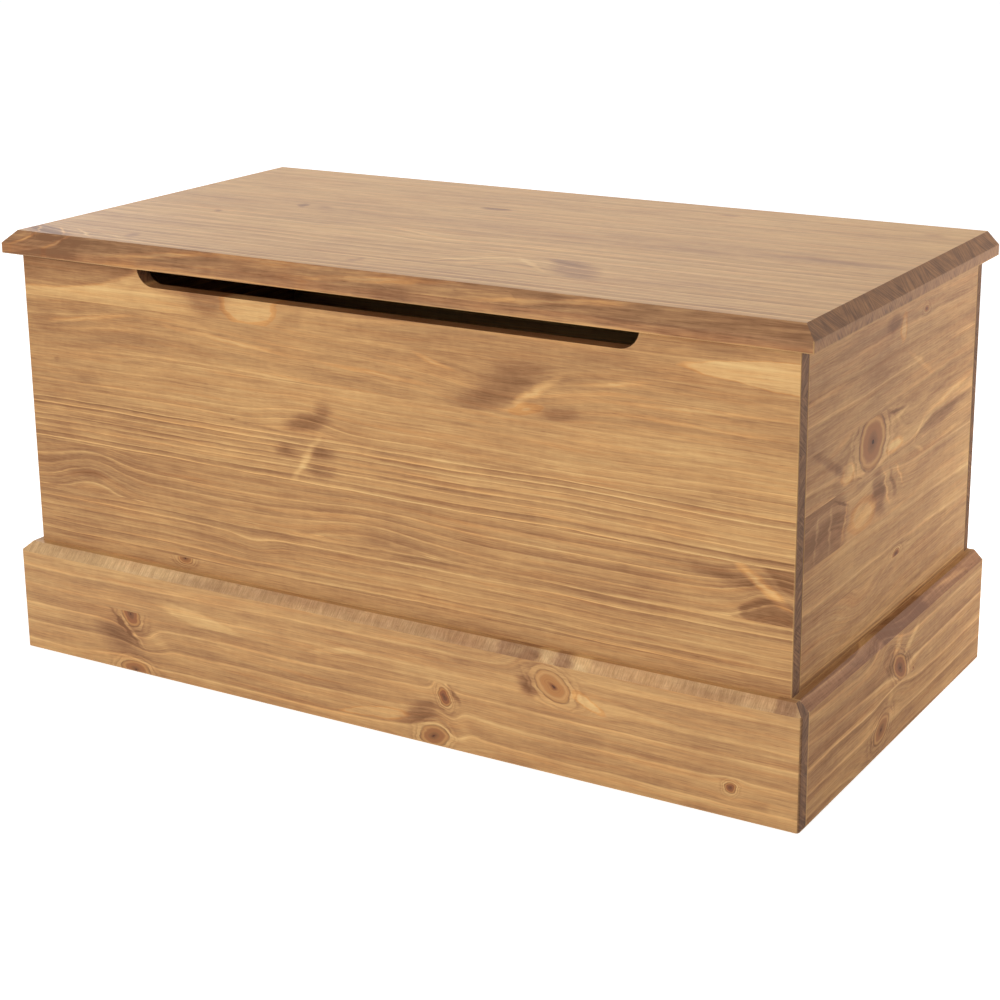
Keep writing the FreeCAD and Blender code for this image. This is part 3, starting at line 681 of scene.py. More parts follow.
right_side_board = Board(
    along=1, across=2, seam=69.3, stave_width=49.2, seed=11, polish=1.12,
    staves=[
        Stave(70, 40, 9, 0.85, -0.14),
        Stave(-60, 40, 15, 0.6, -0.09, [
            swell(-63.6, 147.3, 60, 24, -20),
        ]),
        Stave(66, 40, 22, 0.5, -0.05, [
            knot(19, 170, 9, 4.5, red=1.6),
        ]),
        Stave(-34, 34, 19, 0.55, -0.07, [
            swell(-33, 241.2, 55, 26, 15),
            swell(-143, 246.1, 40, 26, 14),
            patch(-170, 241, 74, 62, -0.24, soft=0.25),
            patch(-170, 240, 30, 4.4, 0.24, tilt=80, soft=1),
            patch(-141, 240, 30, 4.8, 0.26, tilt=84, soft=1),
            patch(-109, 236, 26, 4, 0.26, tilt=74, soft=1, rim=0.3),
            patch(-68, 232, 36, 18, 0.21, soft=0.5, rim=0.6),
            patch(-116, 256, 26, 2, -0.34, tilt=-22),
            patch(-30, 243, 34, 19, -0.32, tilt=-66, soft=0.6),
            patch(-12, 241, 29, 3.4, 0.3, tilt=-64, soft=1, rim=0.3),
            patch(3, 243, 25, 6, -0.26, tilt=-60),
            patch(20, 247, 24, 3.4, 0.26, tilt=-50, soft=1, rim=0.3),
            patch(66, 258.5, 22, 3.6, 0.22, tilt=-22, soft=1),
            patch(150, 254, 76, 4.2, 0.2, tilt=1, soft=1, rim=0.2),
            patch(150, 244, 80, 5, -0.14, tilt=1),
        ]),
        Stave(40, 34, 19, 0.6, -0.06, [
            swell(47, 286.1, 40, 26, -12),
            knot(-50, 293.5, 30, 25, red=0.75),
            patch(-50.5, 308, 60, 9, -0.14),
            patch(-141.3, 296, 70, 7, -0.21, tilt=-28, soft=0.8),
            patch(-105, 279.5, 17, 12, 0.24, soft=0.5, rim=0.4),
            patch(8, 308.5, 26, 3, -0.4, tilt=-5),
            patch(14, 303, 30, 3, 0.26, tilt=6),
            patch(4, 277, 24, 8, 0.22, soft=0.6, rim=0.5),
            patch(64, 275, 24, 3.6, 0.24, tilt=33, soft=1, rim=0.2),
            patch(146, 292.5, 82, 5, 0.3, tilt=6, soft=1, rim=0.3),
            patch(136, 277.5, 88, 8, -0.28, tilt=3, point=-0.6),
            patch(130, 305, 84, 4, -0.12, tilt=6),
            patch(-51, 294, 44, 38, -0.1, soft=0.4),
            patch(-121.6, 284, 24, 18, -0.12, tilt=40, soft=0.5),
        ]),
        Stave(60, 34, 22, 0.5, -0.1, [
            patch(62, 341, 56, 4.5, 0.14, tilt=-27, soft=1, rim=0.2),
            patch(-160, 361, 70, 3, 0.18, tilt=1, soft=1, rim=0.3),
        ]),
        Stave(-60, 34, 22, 0.45, -0.08, [
            knot(72.5, 388, 6, 3.6, red=1.6),
            patch(16, 382, 9, 17, 0.2, tilt=-14, soft=0.6, rim=0.7),
            patch(-8, 391, 24, 12, -0.26, soft=0.8),
        ]),
    ],
    features=[
        # Painted shade: a wide soft dark patch over the front end of this side
        patch(-203.4, 236.1, 120, 260, -0.12, soft=1),
        patch(-40, 372, 150, 80, -0.08, soft=1),
        # Painted light: a wide soft light patch over the rear end of this side, where more light falls
        patch(196, 220, 90, 150, 0.1, soft=1),
    ],
)

lid_board = Board(
    along=0, across=1, seam=-218.7, stave_width=65.3, seed=23, chamfer_tone=-0.23, edge_tone=-0.31,
    end_light=0.42, edge_streaks=0.7, polish=1.34,
    staves=[
        Stave(-70, 30, 10, 1, 0.06, [
            swell(-459, -211, 62, 60, 30),
        ]),
        Stave(90, 34, 14, 0.8, 0.09, [
            swell(95.5, -117.6, 50, 60, 16),
            patch(157, -120, 64, 26, -0.25, tilt=-48, soft=0.6),
            patch(260, -125, 90, 40, -0.08, soft=0.8),
            patch(129, -96.6, 50, 9, -0.22, tilt=-24),
            patch(53.8, -119.4, 62, 5, 0.26, tilt=34),
            patch(41.6, -135.5, 46, 4, -0.22, tilt=34),
            patch(72, -130, 44, 3, 0.24, tilt=34),
            patch(86, -141, 32, 3, 0.24, tilt=32),
            patch(78, -145, 30, 5, -0.22, tilt=30),
            patch(112.7, -119.7, 50, 5, 0.26, tilt=-40),
        ]),
        Stave(-80, 34, 16, 0.55, 0.12, [
            swell(-21.5, -56.5, 60, 40, -12),
            patch(-58, -42, 50, 4, 0.26, tilt=-19, rim=0.2),
            patch(96, -52.5, 170, 4, 0.26, tilt=1.6, rim=0.2),
        ]),
        Stave(80, 34, 18, 0.5, 0.04),
        Stave(-90, 34, 15, 0.45, 0.09, [
            patch(-58.2, 108, 24, 15, -0.46, soft=0.6),
        ]),
        Stave(85, 34, 16, 0.45, 0.1),
        Stave(-80, 34, 16, 0.45, 0.12),
    ],
    features=[
        patch(-248, 30, 8, 14, -0.4, tilt=24, soft=0.8),
        patch(-222, 31, 20, 10, -0.18, tilt=-24),
        patch(-306.7, -36, 12, 7, -0.32, tilt=-40),
        patch(-298.5, -179.4, 10, 16, -0.26, tilt=30),
        patch(-39.7, -176.5, 9, 16, -0.22),
        patch(166.3, 180.2, 18, 8, -0.26),
        patch(380.3, 176.9, 20, 12, -0.24),
        patch(354.1, 18.1, 110, 16, -0.2),
        patch(202, 7.8, 240, 24, -0.07),
        patch(-200, -34, 120, 13, -0.13, soft=0.6),
        patch(-400, -130, 250, 110, -0.07, soft=1),
        patch(-392, -200, 56, 20, -0.4, tilt=-24, soft=0.7),
        patch(-402, -198, 26, 2.6, 0.52, tilt=-54, soft=1, rim=0.3),
        patch(-374, -196, 29, 2.6, 0.48, tilt=-44, soft=1, rim=0.3),
        patch(-348, -194, 36, 2.6, 0.38, tilt=-33, soft=1),
        patch(-310, -193, 60, 2.4, 0.2, tilt=-17, soft=1),
        patch(-405, -219, 20, 2, 0.34, tilt=24, soft=1, rim=0.6),
        patch(-362, -219, 22, 2.4, 0.32, tilt=26, soft=1, rim=0.6),
        patch(-375, -221, 70, 9, -0.18, soft=0.6),
        patch(-229, -218.8, 76, 3.4, 0.34, tilt=5.5, soft=1, rim=0.5),
        patch(3, -218.8, 114, 3.2, 0.32, tilt=3.4, soft=1, rim=0.5),
        patch(190, -218.8, 100, 3.2, 0.32, tilt=3.8, soft=1, rim=0.4),
        patch(-100, -214.6, 210, 2.2, 0.14, soft=1, rim=0.3),
        patch(320, -219, 100, 5, -0.1, tilt=3),
    ],
)

plinth_front_board = Board(
    along=0, across=2, seam=0, stave_width=63.2, seed=37, chamfer_marks=1, chamfer_tone=-0.03,
    polish=1.33,
    staves=[
        Stave(-60, 34, 18, 0.8, 0, [
            knot(-288.7, 60.7, 14, 10.5, tilt=-48, red=0.9),
            knot(-285.9, 1.5, 18, 10),
            knot(80.8, 49.8, 9.4, 5.8, tilt=-66, push=1, red=1.6),
            knot(68.8, 8.9, 15, 10.5, tilt=14, push=1),
            knot(366.9, 27.6, 5, 5, red=1.6),
            patch(-304.4, 38, 42, 20, -0.36, soft=0.8),
            patch(-298.5, 46.9, 34, 3, -0.36, tilt=-44, soft=0.8),
            patch(-286.5, 42, 30, 2.6, 0.26, tilt=-42, soft=0.8),
            patch(-253.4, 38, 20, 8, 0.12, tilt=-20, soft=0.8),
            patch(-290.2, 22.2, 46, 14, -0.12),
            patch(53.3, 28.1, 36, 15, -0.38, tilt=30, soft=0.8),
            patch(91.3, 53.8, 14, 3, -0.34, tilt=-50, soft=0.8),
            patch(99.2, 18.3, 14, 12, 0.16, tilt=30),
            patch(1.5, 18.3, 44, 9, 0.18, tilt=8, point=0.7, soft=0.3, rim=0.6),
            patch(366.3, 15.3, 10, 3, 0.11, soft=0.8),
            patch(415.1, 16.3, 20, 6, 0.15, soft=0.5),
        ]),
        Stave(66, 36, 20, 0.8, 0.03, [
            knot(194.2, 84, 19, 12, tilt=-30, push=1, red=0.25),
            patch(-200.7, 70.6, 60, 6, 0.19, tilt=-8, point=-0.7, soft=0.35),
            patch(-38.7, 70.6, 44, 5, 0.16, tilt=12, point=0.5, soft=0.5),
            patch(168.2, 79.5, 15, 15, -0.52, tilt=20),
            patch(229.2, 75.5, 20, 6, 0.24, tilt=-30, soft=0.5, rim=0.8),
            patch(263.1, 75.5, 60, 7, 0.16, tilt=176, point=0.6, soft=0.5),
            patch(396, 91.4, 9, 7, -0.06, soft=0.6),
        ]),
    ],
    features=[
        patch(-329.5, 109.3, 150, 16, 0.16, soft=0.6),
    ],
    chamfer_features=[
        patch(158, 109, 30, 22, -0.22, soft=0.5),
        patch(183, 109, 9, 22, 0.18, soft=0.6),
        patch(203, 109, 11, 22, -0.24, soft=0.6),
        patch(222, 109, 10, 22, 0.22, soft=0.5),
        patch(414, 109, 13, 22, -0.24, soft=0.4),
        patch(-179, 112, 60, 12, 0.08, soft=1),
        patch(-36, 112, 50, 12, -0.07, soft=1),
    ],
)

plinth_right_board = Board(
    along=1, across=2, seam=-10, stave_width=64, seed=41, chamfer_marks=0.45, chamfer_tone=-0.2,
    chamfer_warmth=0.6, polish=1.12,
    staves=[
        Stave(60, 34, 17, 0.8, -0.07, [
            knot(-43, 23, 19, 11, tilt=18, push=1),
            patch(-44, 25, 42, 22, -0.26, tilt=18, soft=0.8),
            patch(-22, 46, 14, 8, 0.16, tilt=60, soft=0.8),
            patch(-61, 35.9, 30, 9, 0.09, soft=0.8),
        ]),
        Stave(-54, 34, 18, 0.8, -0.09, [
            knot(0, 68, 22, 11, tilt=-38, push=1, red=0.9),
            patch(-6, 72, 46, 22, -0.26, tilt=-30, soft=0.8),
            patch(-8, 92, 16, 9, 0.26, tilt=40, soft=0.7, rim=0.4),
            patch(25.4, 86.6, 30, 6, 0.26, tilt=30, soft=0.7),
            patch(-90, 76, 120, 16, -0.12),
        ]),
    ],
    features=[
        knot(33.9, 55.4, 2.5, 2, push=0.6),
        patch(-205, 49, 90, 80, -0.1, soft=1),
        patch(-150, 40, 110, 70, -0.05, soft=1),
    ],
    chamfer_features=[
        patch(14, 109, 63, 26, -0.22, soft=0.2),
        patch(130, 110, 64, 2.4, 0.22, tilt=-2.5, soft=1, rim=0.3),
        patch(168, 107, 52, 2, 0.2, tilt=-2, soft=1, rim=0.3),
    ],
)


def plain_board(along, across, seam, stave_width, count, seed, knots=None, tone=0.0):
    """A board whose staves differ by turns, for the sides that the photo hides. Knots go by stave."""
    staves = []
    for index in range(count):
        swing = math.sin(index * 2.4 + seed)
        turn = math.cos(index * 1.7 + seed * 2.0)
        offset = math.copysign(70.0 + 35.0 * abs(turn), swing)
        staves.append(Stave(
            offset, 26.0 + 12.0 * turn, 8.0 + 3.4 * swing, 0.65 + 0.25 * turn, tone + 0.04 * swing))
    for index, each in (knots or {}).items():
        staves[index].features.append(each)
    return Board(along, across, seam, stave_width, staves, seed=seed)


left_side_board = plain_board(1, 2, 75, 48.6, 7, 53, knots={
    3: knot(70, 245, 20, 16, tilt=20),
    1: knot(-120, 140, 13, 10),
    5: knot(-40, 350, 8, 6),
})
back_board = plain_board(0, 2, 30, 62, 7, 61, knots={
    1: knot(-210, 122, 22, 15, tilt=12),
    2: knot(150, 180, 17, 13),
    5: knot(310, 380, 12, 9),
    0: knot(-60, 90, 10, 8),
})
base_board = plain_board(0, 1, -250, 70, 8, 71, knots={
    2: knot(-160, -40, 18, 13),
    4: knot(230, 90, 15, 12),
}, tone=0.03)
plinth_left_board = plain_board(1, 2, -10, 64, 2, 83, knots={
    0: knot(110, 30, 14, 10),
    1: knot(-60, 84, 9, 7),
})
long_cleat_board = plain_board(0, 2, 0, 100, 1, 89, tone=0.03)
side_cleat_board = plain_board(1, 2, 0, 100, 1, 97, tone=0.02)
batten_board = plain_board(1, 0, -500, 500, 2, 101, tone=0.01)
plinth_left_board.chamfer_marks = 0.35


# Materials


def new_material(name):
    material = bpy.data.materials.new(name)
    material.use_nodes = True
    tree = material.node_tree
    tree.nodes.clear()
    end = tree.nodes.new("ShaderNodeOutputMaterial")
    shader = tree.nodes.new("ShaderNodeBsdfPrincipled")
    tree.links.new(shader.outputs["BSDF"], end.inputs["Surface"])
    return material, tree, shader, end


def object_place(tree):
    """The place on the object in millimetres, and the way its surface faces."""
    source = tree.nodes.new("ShaderNodeTexCoord")
    scaled = tree.nodes.new("ShaderNodeVectorMath")
    scaled.operation = "SCALE"
    scaled.inputs["Scale"].default_value = MM
    tree.links.new(source.outputs["Object"], scaled.inputs[0])
    return scaled.outputs[0], source.outputs["Normal"]


def bump(tree, height, distance, shader):
    node = tree.nodes.new("ShaderNodeBump")
    node.inputs["Strength"].default_value = 0.5
    node.inputs["Distance"].default_value = distance
    feed(tree, height, node.inputs["Height"])
    feed(tree, node.outputs["Normal"], shader.inputs["Normal"])


def stave_table(tree, place, rows):
    """Looks up three values for the stave at a place from 0 to 1 across the board."""
    stops = [(index / len(rows), row) for index, row in enumerate(rows)]
    return parts_of(tree, colour_ramp(tree, place, stops, interpolation="CONSTANT"))


def stave_values(tree, board, across):
    """Which stave a place is on, and that stave's own values."""
    # Just under one, so that the far edge is still on the last stave
    nearly_one = 0.9999
    count = len(board.staves)
    share = ((across - board.seam) / (board.stave_width * count)).clamped()
    rings = []
    tones = []
    for index, stave in enumerate(board.staves):
        middle = board.seam + (index + 0.5) * board.stave_width
        rings.append((middle + stave.pith_offset + PITH_RAISE, stave.pith_depth, stave.ring_width))
        tones.append((stave.contrast, stave.tone + TONE_RAISE, 0.0))
    pith_across, pith_depth, ring_width = stave_table(tree, share, rings)
    contrast, tone, _ = stave_table(tree, share, tones)
    return {
        "row": (share * count * nearly_one).floor() + board.seed,
        "pith_across": pith_across - PITH_RAISE,
        "pith_depth": pith_depth,
        "ring_width": ring_width,
        "contrast": contrast,
        "tone": tone - TONE_RAISE,
    }


def pine_material(name, board, node, groups, sizes):
    """The finish of one board, with its staves, knots and patches where they show."""
    material, tree, shader, end = new_material(name)
    place, facing = object_place(tree)
    axes = parts_of(tree, place)
    normal = parts_of(tree, facing)
    along, across, depth = axes[board.along], axes[board.across], axes[board.depth]
    stave = stave_values(tree, board, across)

    # Depth into the board from its show face, which is the one farther from the middle of the trunk
    low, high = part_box(node)
    face = max(low[board.depth], high[board.depth], key=abs) * MM
    inward = (depth - face) * math.copysign(1.0, -face)

    # Chamfers and the narrow faces along the grain have a tone of their own; on the front panel the darker
    # narrow faces are painted shade on the slot's ledge under the lid
    chamfer, end_chamfer = (
        ((normal[axis].absolute().least(normal[board.depth].absolute()) - 0.45) * 6.0).clamped()
        for axis in (board.across, board.along))
    edge = ((normal[board.across].absolute() - 0.85) * 10.0).clamped()
    light = chamfer * board.chamfer_tone + edge * board.edge_tone
    warmth = chamfer * board.chamfer_warmth
    if board.edge_streaks:
        aslant = (along / 130.0, (across - along * 0.09) / 5.0, depth / 3.2)
        streak = noise(tree, aslant, detail=2.5, roughness=0.55)
        streak = streak * (chamfer + edge).clamped() * board.edge_streaks
        light = light + streak
        warmth = warmth + streak * 0.45 + edge * 0.22

    # Features bend a little with the grain, so their outlines are not drawn with a compass. Each one changes
    # some of the figure's values and passes them on to the next
    run, rise = two_noises(tree, (along / 26.0 + board.seed, across / 9.0), detail=2.5)
    figure = {"level": across, "nearest": NO_KNOT, "red": 0.0, "light": light, "warmth": warmth}
    kinds = (
        ("swell", 12.0, 0.0, ("level",)),
        ("knot", 6.5, 3.0, ("level", "nearest", "red")),
        ("patch", 12.0, 3.6, ("light", "warmth")),
    )
    for kind, bend_along, bend_across, changed in kinds:
        features = board.features_of_kind(kind)
        if not features:
            continue
        bent = {"along": along + run * bend_along, "across": across + rise * bend_across}
        for values in features:
            passed = {key: figure[key] for key in changed}
            made = place_group(tree, groups[kind], seam_across=across, **bent, **passed, **values)
            figure.update(vars(made))

    pine = place_group(
        tree, groups["pine"], along=along, across=across, depth=inward, **stave, **figure,
        fibre_amount=1.0 - chamfer * board.chamfer_marks * 0.8,
        fibre_length=sizes.fibre_length * MM, fibre_width=sizes.fibre_width * MM)
    ends = place_group(
        tree, groups["end"], color=pine.color, facing=normal[board.along], along=along, across=across,
        depth=depth, figure=pine.figure, row=stave["row"],
        light=board.end_light - end_chamfer * board.end_light * 0.55)
    shown = ends.color
    height = pine.height
    if board.chamfer_marks:
        marks = place_group(
            tree, groups["marks"], color=shown, along=along, across=across,
            mask=chamfer * board.chamfer_marks, spacing=sizes.mark_spacing * MM)
        shown = marks.color
        height = height + marks.height * 0.6
    worn = place_group(
        tree, groups["edge"], color=shown, reach=sizes.worn_edge * MM, amount=0.45, place=place,
        low_corner=tuple(low * MM), high_corner=tuple(high * MM))
    feed(tree, worn.color, shader.inputs["Base Color"])
    rough = sizes.wax_roughness + pine.figure * -0.10 + height * -0.05 + ends.mask * 0.30 + worn.mask * 0.05
    feed(tree, rough, shader.inputs["Roughness"])
    shader.inputs["IOR"].default_value = board.polish
    bump(tree, height, WOOD_RELIEF, shader)
    arrange(tree, end)
    return material


def metal_material(name, colour, groups, roughness):
    material, tree, shader, end = new_material(name)
    place, _ = object_place(tree)
    metal = place_group(tree, groups["metal"], color=tuple(colour), place=place, roughness=roughness)
    feed(tree, metal.color, shader.inputs["Base Color"])
    feed(tree, metal.roughness, shader.inputs["Roughness"])
    bump(tree, metal.height, METAL_RELIEF, shader)
    shader.inputs["Metallic"].default_value = 1.0
    arrange(tree, end)
    return material


def dowel_material(name, colour):
    """Beech with short flecks, turned smooth."""
    material, tree, shader, end = new_material(name)
    place, _ = object_place(tree)
    x, y, z = parts_of(tree, place)
    fleck = noise(tree, (x / 0.5, y / 3.0, z / 0.5), detail=2.0)
    light = [channel * 1.15 for channel in colour]
    dark = [channel * 0.72 for channel in colour]
    feed(tree, colour_ramp(tree, 0.5 + fleck, [(0.0, dark), (1.0, light)]), shader.inputs["Base Color"])
    feed(tree, 0.6 + fleck * 0.2, shader.inputs["Roughness"])
    arrange(tree, end)
    return material


def shared_groups(context):
    """Makes the node groups once, and finds them again after that."""
    colours = context.scene.trunk_colours
    makers = {
        "knot": ("Knot", knot_group),
        "swell": ("Swell", swell_group),
        "patch": ("Stain and Shade Patch", patch_group),
        "pine": ("Pine", lambda: pine_group(colours)),
        "end": ("End Grain", lambda: end_grain_group(colours)),
        "edge": ("Worn Edge", lambda: worn_edge_group(colours)),
        "marks": ("Tool Marks", tool_mark_group),
        "metal": ("Fitting Metal", metal_group),
    }
    return {key: bpy.data.node_groups.get(name) or make() for key, (name, make) in makers.items()}


def dress(node, material):
    """Gives a CAD node its finish."""
    target = frame["nodes"][node]
    target.data.materials.clear()
    target.data.materials.append(material)
    return target


def dress_boards(context, boards):
    groups = shared_groups(context)
    sizes = context.scene.trunk_sizes
    for node, board in boards.items():
        dress(node, pine_material(label_of(node), board, node, groups, sizes))


def rounded(target, width):
    """Rounds the edges of a metal piece."""
    modifier = target.modifiers.new("Rounded Edges", "BEVEL")
    modifier.width = width
    modifier.segments = 2
    modifier.limit_method = "ANGLE"
    modifier.angle_limit = math.radians(50.0)
    modifier.harden_normals = True


# Screws


def islands(node):
    """The corners of each separate solid in a CAD node."""
    mesh = frame["nodes"][node].data
    keys = [tuple(round(value, 6) for value in vertex.co) for vertex in mesh.vertices]
    leader = {key: key for key in keys}

    def top(key):
        while leader[key] != key:
            leader[key] = leader[leader[key]]
            key = leader[key]
        return key

    for edge in mesh.edges:
        first, second = (top(keys[index]) for index in edge.vertices)
        leader[first] = second
    solids = {}
    for key in leader:
        solids.setdefault(top(key), []).append(Vector(key))
    return list(solids.values())


@dataclass
class ScrewPlace:
    """Where a screw stands. Start is the middle of its head, and head and shank are radii."""

    start: Vector
    direction: Vector
    head: float
    shank: float
    length: float


def screw_places(node):
    """The place and sizes of each plain screw in a CAD node."""
    near = 1e-5
    places = []
    for corners in islands(node):
        spans = [max(c[axis] for c in corners) - min(c[axis] for c in corners) for axis in range(3)]
        length = max(spans)
        axis = spans.index(length)
        ends = []
        for level in (min(c[axis] for c in corners), max(c[axis] for c in corners)):
            ring = [c for c in corners if abs(c[axis] - level) < near]
            middle = sum(ring, Vector()) / len(ring)
            ends.append((max((c - middle).length for c in ring), middle))
        (_, point), (head, start) = sorted(ends, key=lambda end: end[0])
        direction = (point - start).normalized()
        inner = [c - start for c in corners if near < (c - start).dot(direction) < length - near]
        shank = min((c - direction * c.dot(direction)).length for c in inner)
        places.append(ScrewPlace(start, direction, head, shank, length))
    return places


def circle(mesh, height, radii):
    """A ring of corners at one height, each with its own radius."""
    corners = []
    for index, radius in enumerate(radii):
        angle = 2 * math.pi * index / len(radii)
        corners.append(mesh.verts.new((radius * math.cos(angle), radius * math.sin(angle), height)))
    return corners


def skinned(name, mesh, rings):
    """Closes a mesh over its rings of corners and both ends."""
    for low, high in zip(rings, rings[1:]):
        for index in range(len(low)):
            after = (index + 1) % len(low)
            mesh.faces.new((low[index], low[after], high[after], high[index]))
    mesh.faces.new(list(reversed(rings[0])))
    mesh.faces.new(rings[-1])
    bmesh.ops.recalc_face_normals(mesh, faces=mesh.faces)
    data = bpy.data.meshes.new(name)
    mesh.to_mesh(data)
    mesh.free()
    return data


def screw_mesh(name, place, recess_share):
    """A countersunk wood screw along +Z from its head, with a cross recess, a thread and a point."""
    sides = 24
    steps_per_turn = 4
    cone = place.head - place.shank
    rim = place.head * 0.06
    plain_end = cone + (place.length - cone) * 0.35
    point_length = place.shank * 3.0
    pitch = place.shank * 0.75
    outline = [(0.0, place.head * 0.93), (rim * 0.4, place.head * 0.985), (rim, place.head * 0.985),
               (cone, place.shank * 0.86), (plain_end, place.shank * 0.86)]
    mesh = bmesh.new()
    rings = [circle(mesh, height, [radius] * sides) for height, radius in outline]
    steps = int((place.length - plain_end) / pitch * steps_per_turn)
    for step in range(1, steps + 1):
        height = plain_end + (place.length - plain_end) * step / steps
        fade = max(0.0, min(1.0, (place.length - height) / point_length))
        core = place.shank * (0.10 + 0.56 * fade)
        turns = [(height / pitch + side / sides) % 1.0 for side in range(sides)]
        ridges = [max(0.0, 1.0 - abs(turn - 0.5) * 4.0) for turn in turns]
        rings.append(circle(mesh, height, [core + ridge * place.shank * 0.32 * fade for ridge in ridges]))
    return cut_recess(skinned(name, mesh, rings), place, recess_share)


def cross_cutter(place, depth_share):
    """A cross whose arms narrow with depth."""
    arm = place.head * 0.55
    width = place.head * 0.13
    quarter = [(arm, width), (width, width), (width, arm)]
    half = quarter + [(-y, x) for x, y in quarter]
    outline = half + [(-x, -y) for x, y in half]
    mesh = bmesh.new()
    top = [mesh.verts.new((x, y, -place.head * 0.2)) for x, y in outline]
    bottom = [mesh.verts.new((x * 0.55, y * 0.75, place.head * depth_share)) for x, y in outline]
    return bpy.data.objects.new("Cross Cutter", skinned("Cross Cutter", mesh, [top, bottom]))


def cut_recess(data, place, recess_share):
    """Takes the cross recess out of a screw's head."""
    screw = bpy.data.objects.new("Screw Blank", data)
    cutter = cross_cutter(place, recess_share)
    for part in (screw, cutter):
        bpy.context.scene.collection.objects.link(part)
    modifier = screw.modifiers.new("Recess", "BOOLEAN")
    modifier.object = cutter
    modifier.solver = "EXACT"
    graph = bpy.context.evaluated_depsgraph_get()
    made = bpy.data.meshes.new_from_object(screw.evaluated_get(graph))
    made.name = data.name
    for part in (screw, cutter):
        bpy.data.objects.remove(part)
    made.set_sharp_from_angle(angle=math.radians(35.0))
    for face in made.polygons:
        face.use_smooth = True
    return made


def make_screws(node, body, material, recess_share):
    """Replaces the plain screws of a CAD node by real ones in the same places."""
    places = screw_places(node)
    mesh = screw_mesh(node + "_mesh", places[0], recess_share)
    mesh.materials.append(material)
    for index, place in enumerate(places, start=1):
        piece = bpy.data.objects.new(f"{node}_{index}", mesh)
        turn = place.direction.to_track_quat("Z", "Y") @ Matrix.Rotation(index * 0.9, 3, "Z").to_quaternion()
        piece.matrix_world = Matrix.Translation(place.start) @ turn.to_matrix().to_4x4()
        bpy.context.scene.collection.objects.link(piece)
        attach(piece, body)
        if index == 1:
            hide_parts(node)


# Operators


class TRUNK_OT_lid(bpy.types.Operator):
    """Finishes the lid panel"""

    bl_idname = "trunk.lid"
    bl_label = "Lid Panel"

    def execute(self, context):
        dress_boards(context, {"lid_panel": lid_board})
        return {"FINISHED"}


class TRUNK_OT_front(bpy.types.Operator):
    """Finishes the front panel with its finger slot"""

    bl_idname = "trunk.front"
    bl_label = "Front Panel"

    def execute(self, context):
        dress_boards(context, {"front_panel": front_board})
        return {"FINISHED"}


class TRUNK_OT_sides(bpy.types.Operator):
    """Finishes the two side panels and the back panel"""

    bl_idname = "trunk.sides"
    bl_label = "Sides and Back"

    def execute(self, context):
        dress_boards(context, {
            "side_panel_right": right_side_board,
            "side_panel_left": left_side_board,
            "back_panel": back_board,
        })
        return {"FINISHED"}


class TRUNK_OT_plinth(bpy.types.Operator):
    """Finishes the three plinth boards"""

    bl_idname = "trunk.plinth"
    bl_label = "Plinth"

    def execute(self, context):
        dress_boards(context, {
            "plinth_front": plinth_front_board,
            "plinth_right": plinth_right_board,
            "plinth_left": plinth_left_board,
        })
        return {"FINISHED"}


class TRUNK_OT_inside(bpy.types.Operator):
    """Finishes the base panel, its cleats, the lid battens and the dowels"""

    bl_idname = "trunk.inside"
    bl_label = "Base, Cleats and Battens"

    def execute(self, context):
        dress_boards(context, {
            "base_panel": base_board,
            "cleat_front": long_cleat_board,
            "cleat_back": long_cleat_board,
            "cleat_left": side_cleat_board,
            "cleat_right": side_cleat_board,
            "lid_batten_left": batten_board,
            "lid_batten_right": batten_board,
        })
        beech = dowel_material("Beech Dowel", context.scene.trunk_colours.beech)
        dress("corner_dowels", beech)
        return {"FINISHED"}


class TRUNK_OT_fittings(bpy.types.Operator):
    """Finishes the hinges and the lid stay"""

    bl_idname = "trunk.fittings"
    bl_label = "Hinges and Stay"

    def execute(self, context):
        groups = shared_groups(context)
        colours = context.scene.trunk_colours
        brass = metal_material("Brass", colours.brass, groups, 0.30)
        nodes = ["stay_arm", "stay_stud", "stay_side_plate", "stay_lid_bracket", "stay_rivet"]
        for side in ("left", "right"):
            nodes += [f"hinge_{side}_{part}" for part in ("fixed_leaf", "moving_leaf", "pin")]
        for node in nodes:
            rounded(dress(node, brass), context.scene.trunk_sizes.metal_edge)
        return {"FINISHED"}


class TRUNK_OT_screws(bpy.types.Operator):
    """Makes all the screws"""

    bl_idname = "trunk.screws"
    bl_label = "Screws"

    def execute(self, context):
        groups = shared_groups(context)
        steel = metal_material("Steel", context.scene.trunk_colours.steel, groups, 0.34)
        for node in frame["nodes"]:
            if "screws" in node:
                body = frame["nodes"][node]["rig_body"]
                make_screws(node, body, steel, context.scene.trunk_sizes.recess_depth)
        return {"FINISHED"}


class TRUNK_OT_stage(bpy.types.Operator):
    """Makes the floor, the light and the camera"""

    bl_idname = "trunk.stage"
    bl_label = "Stage"

    def execute(self, context):
        make_floor(context)
        make_light(context)
        make_camera(context)
        context.scene.view_settings.view_transform = "Standard"
        return {"FINISHED"}


# Stage


def seen_directly(tree):
    """One for rays from the camera, in a mirror or through glass, and zero for light on the object."""
    path = tree.nodes.new("ShaderNodeLightPath")
    rays = ("Camera", "Glossy", "Transmission")
    camera, mirror, glass = (Wire(tree, path.outputs[f"Is {ray} Ray"]) for ray in rays)
    return camera.most(mirror).most(glass)


